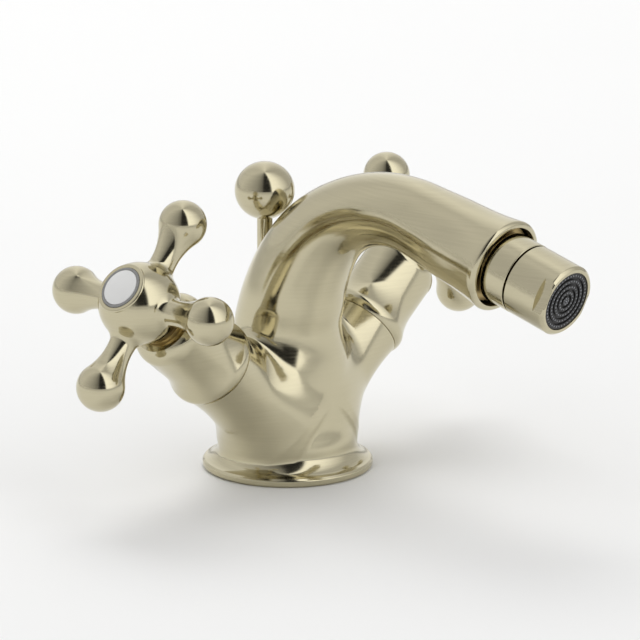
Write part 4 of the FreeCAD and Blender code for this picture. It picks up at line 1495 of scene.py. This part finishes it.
@dataclass(frozen=True)
class OutletSizes:
    """Sizes of the swivel outlet, by stations from the spout's end face."""

    collar_radius: float = 10.75
    collar_back: float = -1.0
    collar_edge: float = 1.2
    collar_front: float = 8.3
    collar_rounding: float = 0.25
    stem_bore: float = 5.85
    stub_radius: float = 9.3
    stub_step: float = 0.4
    stub_end: float = 14.0
    housing_radius: float = 10.7
    housing_back: float = 8.9
    housing_front: float = 23.7
    housing_chamfer: float = 0.8
    housing_rounding: float = 0.25
    chamfer_rounding: float = 0.5
    front_rounding: float = 0.2
    bore_rounding: float = 0.1
    bore_shown: float = 3.0
    thread_shown: float = 6.0
    fit_gap: float = 0.05
    flat_distance: float = 9.4
    flat_length: float = 3.6
    flat_turn: float = -15.0
    insert_radius: float = 8.9
    insert_rounding: float = 0.15
    insert_shown: float = 4.0
    face_recess: float = 0.3
    groove_count: int = 4
    groove_width: float = 0.7
    groove_depth: float = 0.5
    groove_rounding: float = 0.08


@dataclass(frozen=True)
class DotSizes:
    """Grey dots on the aerator's face: one in the middle, and a ring of them on each land."""

    first_ring: float = 0.89
    pitch: float = 1.78
    counts: tuple[int, ...] = (7, 15, 24, 33, 42)
    radius: float = 0.26
    height: float = 0.18
    middle_share: float = 1.2
    least_share: float = 0.75
    segments: int = 12
    rows: int = 8
    seed: int = 7


class DotRings:
    """Geometry Nodes tree that sets rings of small domes round a larger one.

    Args:
        sizes: Sizes of the rings and the domes.
    """

    LENGTHS = ("First ring", "Pitch", "Dot radius", "Dot height")
    SHARES = ("Middle share", "Least share")

    def __init__(self, sizes: DotSizes) -> None:
        self.sizes = sizes
        self.tree = bpy.data.node_groups.new("dot_rings", "GeometryNodeTree")
        self.keys: dict[str, str] = {}
        kinds = [(name, "NodeSocketFloat") for name in (*self.LENGTHS, *self.SHARES)]
        kinds += [("Seed", "NodeSocketInt"), ("Material", "NodeSocketMaterial")]
        for name, kind in kinds:
            socket = self.tree.interface.new_socket(name=name, in_out="INPUT", socket_type=kind)
            self.keys[name] = socket.identifier
        self.tree.interface.new_socket(name="Geometry", in_out="OUTPUT", socket_type="NodeSocketGeometry")
        self._wire()

    def _wire(self) -> None:
        """Adds and joins the tree's nodes."""
        nodes = Nodes(self.tree)
        given = nodes.add("NodeGroupInput").outputs
        ball = nodes.add("GeometryNodeMeshUVSphere", {
            "Segments": self.sizes.segments, "Rings": self.sizes.rows, "Radius": given["Dot radius"]})
        squash = nodes.add(
            "ShaderNodeMath", {0: given["Dot height"], 1: given["Dot radius"]}, operation="DIVIDE")
        scale = nodes.add("ShaderNodeCombineXYZ", {"X": 1.0, "Y": 1.0, "Z": squash.outputs[0]})
        flat = nodes.add("GeometryNodeTransform", {
            "Geometry": ball.outputs["Mesh"], "Scale": scale.outputs["Vector"]})
        dome = nodes.add("GeometryNodeSetShadeSmooth", {"Geometry": flat.outputs["Geometry"]})
        rings = nodes.add("GeometryNodeJoinGeometry")
        for ring, count in enumerate(self.sizes.counts):
            radius = nodes.add("ShaderNodeMath", {
                0: float(ring), 1: given["Pitch"], 2: given["First ring"]}, operation="MULTIPLY_ADD")
            circle = nodes.add("GeometryNodeMeshCircle", {"Vertices": count, "Radius": radius.outputs[0]})
            self.tree.links.new(circle.outputs["Mesh"], rings.inputs["Geometry"])
        share = nodes.add("FunctionNodeRandomValue", {
            2: given["Least share"], 3: 1.0, "Seed": given["Seed"]}, data_type="FLOAT")
        dots = nodes.add("GeometryNodeInstanceOnPoints", {
            "Points": rings.outputs["Geometry"], "Instance": dome.outputs["Geometry"],
            "Scale": share.outputs[1]})
        middle = nodes.add("GeometryNodeTransform", {
            "Geometry": dome.outputs["Geometry"], "Scale": given["Middle share"]})
        everything = nodes.add("GeometryNodeJoinGeometry", {"Geometry": dots.outputs["Instances"]})
        self.tree.links.new(middle.outputs["Geometry"], everything.inputs["Geometry"])
        real = nodes.add("GeometryNodeRealizeInstances", {"Geometry": everything.outputs["Geometry"]})
        dressed = nodes.add("GeometryNodeSetMaterial", {
            "Geometry": real.outputs["Geometry"], "Material": given["Material"]})
        nodes.add("NodeGroupOutput", {"Geometry": dressed.outputs["Geometry"]})

    def to_object(
            self, name: str, axis: Axis, station: float,
            material: bpy.types.Material) -> bpy.types.Object:
        """Plain mesh of the dots.

        Args:
            name: Object's name.
            axis: Axis that the rings are square to.
            station: Place of the rings along the axis.
            material: Material of the dots.

        Returns:
            The object, linked to the scene and without a modifier.
        """
        s = self.sizes
        lengths = (s.first_ring, s.pitch, s.radius, s.height)
        values: dict[str, object] = {key: size * MILLIMETRE for key, size in zip(self.LENGTHS, lengths)}
        values.update(zip(self.SHARES, (s.middle_share, s.least_share)))
        values.update({"Seed": s.seed, "Material": material})
        thing = bpy.data.objects.new(name, bpy.data.meshes.new(name + "_seed"))
        bpy.context.scene.collection.objects.link(thing)
        modifier = thing.modifiers.new("dot_rings", "NODES")
        modifier.node_group = self.tree
        for key, value in values.items():
            modifier[self.keys[key]] = value
        mesh = bpy.data.meshes.new_from_object(thing.evaluated_get(bpy.context.evaluated_depsgraph_get()))
        thing.modifiers.remove(modifier)
        middle = axis.place(np.array([[0.0, 0.0, station]]))[0] * MILLIMETRE
        mesh.transform(Matrix.Translation(middle) @ Matrix(axis.matrix.tolist()).to_4x4())
        thing.data = mesh
        mesh.name = name
        return thing


class Outlet(Assembly):
    """Collar, aerator housing and flow insert with its dots.

    Args:
        finishes: Materials of all looks.
        sizes: Sizes of the outlet.
        axis: Outlet's axis.
    """

    STEP_POINTS = 49

    def __init__(self, finishes: Finishes, sizes: OutletSizes, axis: Axis) -> None:
        super().__init__(finishes)
        self.sizes = sizes
        self.axis = axis

    def collar(self) -> Patch:
        """Polished collar behind the housing.

        Returns:
            The turned collar.
        """
        s = self.sizes
        inner = s.collar_radius - s.collar_edge
        bow = (inner + s.collar_edge * DIAGONAL, s.collar_back + s.collar_edge * (1 - DIAGONAL))
        outline = Profile(s.stem_bore, s.collar_back).line(inner, s.collar_back)
        outline.arc(bow, s.collar_radius, s.collar_back + s.collar_edge)
        outline.line(s.collar_radius, s.collar_front, s.collar_rounding)
        return outline.line(s.stub_radius + s.stub_step, s.collar_front).patch()

    def stub(self) -> Patch:
        """Threaded stub of the collar, seen in the gap behind the housing, with the gap's shade painted in
        as near-black brass.

        Returns:
            The turned stub.
        """
        s = self.sizes
        outline = Profile(s.stub_radius + s.stub_step, s.collar_front).line(s.stub_radius, s.collar_front)
        return outline.line(s.stub_radius, s.stub_end).patch()

    def housing(self) -> Patch:
        """Housing with two spanner flats at its front.

        Returns:
            The turned housing with its flats.
        """
        s = self.sizes
        step, chamfer = s.housing_front - s.flat_length, s.housing_front - s.housing_chamfer
        thread, bore = s.stub_radius + s.fit_gap, s.insert_radius + s.fit_gap
        back = Profile(thread, s.housing_back + s.thread_shown).line(thread, s.housing_back)
        back.line(s.housing_radius, s.housing_back, s.housing_rounding).line(s.housing_radius, step)
        front = Profile(s.housing_radius, step).line(s.housing_radius, chamfer, s.chamfer_rounding)
        front.line(s.housing_radius - s.housing_chamfer, s.housing_front, s.front_rounding)
        front.line(bore, s.housing_front, s.bore_rounding).line(bore, s.housing_front - s.bore_shown)
        flats = front.patch(Fineness.HOUSING)
        beyond = np.abs(flats.points[:, 0]) > s.flat_distance
        sign = np.sign(flats.points[:, 0])
        flats.points[beyond, 0] = sign[beyond] * s.flat_distance
        flats.normals[beyond] = sign[beyond][:, None] * np.array([1.0, 0.0, 0.0])
        turned = Axis(turn=Turn.Z, degrees=s.flat_turn)
        return Patch.joined([back.patch(Fineness.HOUSING), flats, self.flat_steps(step)]).placed(turned)

    def flat_steps(self, station: float) -> Patch:
        """Walls at the back of the two spanner flats.

        Args:
            station: Place of the walls along the axis.

        Returns:
            Two thin segments that face the front.
        """
        s = self.sizes
        half = math.acos(s.flat_distance / s.housing_radius)
        angles = np.linspace(-half, half, self.STEP_POINTS)
        points, faces = [], []
        for side in (1, -1):
            start = len(points)
            for angle in angles:
                across = side * s.housing_radius * math.sin(angle)
                points.append((side * s.housing_radius * math.cos(angle), across, station))
                points.append((side * s.flat_distance, across, station))
            for i in range(len(angles) - 1):
                a = start + 2 * i
                faces.append([a, a + 2, a + 3, a + 1])
        normals = np.tile(np.array([0.0, 0.0, 1.0]), (len(points), 1))
        return Patch(np.array(points), normals, faces)

    def insert(self) -> Patch:
        """Black flow insert with ring grooves.

        Returns:
            The turned insert.
        """
        s = self.sizes
        face = s.housing_front - s.face_recess
        pitch = s.insert_radius / (s.groove_count + 1)
        outline = Profile(s.insert_radius, face - s.insert_shown)
        outline.line(s.insert_radius, face, s.insert_rounding)
        for ring in range(s.groove_count, 0, -1):
            outer, inner = ring * pitch + s.groove_width / 2, ring * pitch - s.groove_width / 2
            outline.line(outer, face, s.groove_rounding).line(outer, face - s.groove_depth)
            outline.line(inner, face - s.groove_depth).line(inner, face, s.groove_rounding)
        return outline.line(0.0, face).patch(Fineness.INSERT)

    def build(self) -> None:
        """Makes the outlet's pieces and shows them in place of their CAD nodes."""
        s = self.sizes
        pieces = (
            (self.collar(), "outlet_collar", Look.SATIN_BRASS),
            (self.housing(), "aerator_housing", Look.SATIN_BRASS),
            (self.insert(), "aerator_insert", Look.AERATOR_BLACK))
        for patch, name, look in pieces:
            self.show(patch.placed(self.axis), name + "_skin", look, Body.OUTLET, name)
        # The stub in the gap takes painted shade.
        self.show(self.stub().placed(self.axis), "outlet_stub", Look.DARK_BRASS, Body.OUTLET)
        dots = DotRings(DotSizes()).to_object(
            "aerator_dots", self.axis, s.housing_front - s.face_recess, self.finishes[Look.DOT_GREY])
        self.dress(dots, Look.DOT_GREY, Body.OUTLET)


class Inner(Assembly):
    """CAD nodes that stay as they are and only take a material.

    Args:
        finishes: Materials of all looks.
        nodes: CAD objects by name.
        slots: Slot name by node.
    """

    def __init__(
            self, finishes: Finishes, nodes: dict[str, bpy.types.Object], slots: dict[str, str]) -> None:
        super().__init__(finishes)
        self.nodes = nodes
        self.slots = slots

    def build(self) -> None:
        """Puts the slot's material on every CAD node."""
        for name, thing in self.nodes.items():
            material = self.finishes[Look[Slot(self.slots[name]).name]]
            thing.data.materials.clear()
            thing.data.materials.append(material)
            LOG.info("%s: CAD node in %s", name, material.name)


@dataclass(frozen=True)
class Stripe:
    """Upright stripe of the studio's soft surroundings, which blends into the next one.

    Args:
        azimuth: Degrees to the right of the camera's line.
        glow: Brightness, 1 for white.
    """

    azimuth: float
    glow: float


@dataclass(frozen=True)
class Lamp:
    """Soft square lamp that looks at the mixer.

    Args:
        name: Lamp's name.
        azimuth: Degrees to the right of the camera's line.
        elevation: Degrees above the deck.
        distance: Metres from the mixer.
        size: Length of a side, in metres.
        glow: Brightness of its face, 1 for white.
    """

    name: str
    azimuth: float
    elevation: float
    distance: float
    size: float
    glow: float


@dataclass(frozen=True)
class StudioSizes:
    """Camera, lamps, floor and surroundings, in metres."""

    camera_place: Point = (-0.92545, -0.86619, 0.37613)
    camera_line: Point = (0.7116, 0.6557, -0.2525)
    lens: float = 243.24
    sensor: float = 36.0
    camera_near: float = 0.05
    camera_far: float = 50.0
    floor_reach: float = 6.0
    floor_drop: float = 0.00005
    floor_rim: float = 0.65
    floor_cove: float = 0.5
    floor_colour: Point = (0.87, 0.87, 0.865)
    floor_shade: Point = (0.855, 0.855, 0.85)
    floor_drift: float = 4.0
    floor_roughness: float = 0.9
    target: Point = (0.0, -0.02, 0.05)
    lamps: tuple[Lamp, ...] = (
        Lamp("fill_box", azimuth=-40.0, elevation=40.0, distance=1.5, size=1.2, glow=0.6),
        Lamp("key_box", azimuth=192.0, elevation=57.0, distance=2.0, size=1.2, glow=3.3))
    greatest_glow: float = 1.65
    stripes: tuple[Stripe, ...] = (
        Stripe(-180.0, 1.1), Stripe(-140.0, 0.75), Stripe(-100.0, 0.8), Stripe(-60.0, 0.58),
        Stripe(-30.0, 0.40), Stripe(-10.0, 0.20), Stripe(-2.0, 0.03), Stripe(26.0, 0.02),
        Stripe(31.0, 1.6), Stripe(60.0, 1.4), Stripe(110.0, 0.6), Stripe(140.0, 0.62), Stripe(180.0, 1.1))


class Studio:
    """Plain pale floor, soft lamps, surroundings and camera.

    Args:
        sizes: Places and strengths.
    """

    def __init__(self, sizes: StudioSizes) -> None:
        self.sizes = sizes
        line = sizes.camera_line
        self.front = math.atan2(-line[1], -line[0])

    def towards(self, azimuth: float, elevation: float) -> Vector:
        """Direction away from the mixer.

        Args:
            azimuth: Degrees to the right of the camera's line.
            elevation: Degrees above the deck.

        Returns:
            A unit vector.
        """
        turn, rise = self.front + math.radians(azimuth), math.radians(elevation)
        return Vector((math.cos(turn) * math.cos(rise), math.sin(turn) * math.cos(rise), math.sin(rise)))

    def pale(self) -> bpy.types.Material:
        """Pale material of the floor.

        Returns:
            The material.
        """
        s = self.sizes
        material = bpy.data.materials.new("pale_floor")
        material.use_nodes = True
        material.node_tree.nodes.clear()
        nodes = Nodes(material.node_tree)
        place = nodes.add("ShaderNodeTexCoord").outputs["Object"]
        drift = nodes.add("ShaderNodeTexNoise", {"Vector": place, "Scale": s.floor_drift})
        tint = nodes.add("ShaderNodeMix", {
            "Factor": drift.outputs["Fac"], 6: (*s.floor_colour, 1.0), 7: (*s.floor_shade, 1.0)},
            data_type="RGBA")
        shader = nodes.add("ShaderNodeBsdfPrincipled", {
            "Base Color": tint.outputs[2], "Roughness": s.floor_roughness})
        nodes.add("ShaderNodeOutputMaterial", {"Surface": shader.outputs["BSDF"]})
        return material

    def floor(self) -> None:
        """Wide pale floor that keeps the mixer's shadow and turns up at its rim."""
        s = self.sizes
        far, level = s.floor_reach / MILLIMETRE, -s.floor_drop / MILLIMETRE
        outline = Profile(far, s.floor_rim / MILLIMETRE)
        outline.line(far, level, s.floor_cove / MILLIMETRE).line(0.0, level)
        outline.patch().to_object("floor", self.pale())

    def lamp(self, lamp: Lamp) -> None:
        """Soft lamp that adds no mark of its own to the metal.

        Args:
            lamp: Its place and strength.
        """
        away = self.towards(lamp.azimuth, lamp.elevation)
        light = bpy.data.lights.new(lamp.name, "AREA")
        light.shape = "SQUARE"
        light.size = lamp.size
        light.energy = lamp.glow * math.pi * lamp.size ** 2
        thing = bpy.data.objects.new(lamp.name, light)
        thing.location = Vector(self.sizes.target) + away * lamp.distance
        thing.rotation_mode = "QUATERNION"
        thing.rotation_quaternion = away.to_track_quat("Z", "Y")
        thing.visible_glossy = False
        bpy.context.scene.collection.objects.link(thing)

    def stripes(self, nodes: Nodes, place: bpy.types.NodeSocket) -> bpy.types.NodeSocket:
        """Light of the surroundings by their direction from the mixer.

        Args:
            nodes: Tree that the nodes go into.
            place: Direction from the mixer.

        Returns:
            The light's colour, as a share of the greatest glow.
        """
        s = self.sizes
        turned = nodes.add("ShaderNodeMapping", {"Vector": place, "Rotation": (0.0, 0.0, -self.front)})
        apart = nodes.add("ShaderNodeSeparateXYZ", {"Vector": turned.outputs["Vector"]}).outputs
        turn = nodes.add("ShaderNodeMath", {0: apart["Y"], 1: apart["X"]}, operation="ARCTAN2")
        share = nodes.add("ShaderNodeMapRange", {
            "Value": turn.outputs[0], "From Min": -math.pi, "From Max": math.pi})
        ramp = nodes.add("ShaderNodeValToRGB", {"Fac": share.outputs["Result"]})
        stops = ramp.color_ramp.elements
        for stripe in s.stripes[1:-1]:
            stops.new(stripe.azimuth / 360 + 0.5)
        for stop, stripe in zip(stops, s.stripes):
            level = stripe.glow / s.greatest_glow
            stop.color = (level, level, level, 1.0)
        return ramp.outputs["Color"]

    def world(self) -> None:
        """Soft surroundings, dark behind the camera and brightest at its right."""
        world = bpy.data.worlds.new("studio")
        world.use_nodes = True
        world.node_tree.nodes.clear()
        nodes = Nodes(world.node_tree)
        colour = self.stripes(nodes, nodes.add("ShaderNodeTexCoord").outputs["Generated"])
        shade = nodes.add("ShaderNodeBackground", {"Color": colour, "Strength": self.sizes.greatest_glow})
        nodes.add("ShaderNodeOutputWorld", {"Surface": shade.outputs["Background"]})
        bpy.context.scene.world = world

    def camera(self) -> None:
        """Camera at the photograph's place."""
        s = self.sizes
        data = bpy.data.cameras.new("camera")
        data.lens, data.sensor_width = s.lens, s.sensor
        data.clip_start, data.clip_end = s.camera_near, s.camera_far
        thing = bpy.data.objects.new("camera", data)
        thing.location = s.camera_place
        thing.rotation_mode = "QUATERNION"
        thing.rotation_quaternion = Vector(s.camera_line).to_track_quat("-Z", "Y")
        bpy.context.scene.collection.objects.link(thing)
        bpy.context.scene.camera = thing

    def build(self) -> None:
        """Makes the whole studio."""
        self.floor()
        for lamp in self.sizes.lamps:
            self.lamp(lamp)
        self.world()
        self.camera()
        bpy.context.scene.view_settings.view_transform = "Standard"


def main() -> None:
    """Builds every sub-assembly in order."""
    logging.basicConfig(level=logging.INFO, format="%(name)s: %(message)s")
    for thing in list(bpy.data.objects):
        bpy.data.objects.remove(thing)
    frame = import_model()
    finishes = Finishes()
    casting = CastingSizes()
    slots = {part["node"]: part["material_slot"] for part in frame["record"]["subparts"]}
    Inner(finishes, frame["nodes"], slots).build()
    Casting(finishes, casting).build()
    for side in Side:
        Valve(finishes, ValveSizes(), casting, side).build()
    Lift(finishes, LiftSizes()).build()
    Outlet(finishes, OutletSizes(), casting.outlet_axis).build()
    Studio(StudioSizes()).build()


if __name__ == "__main__":
    main()
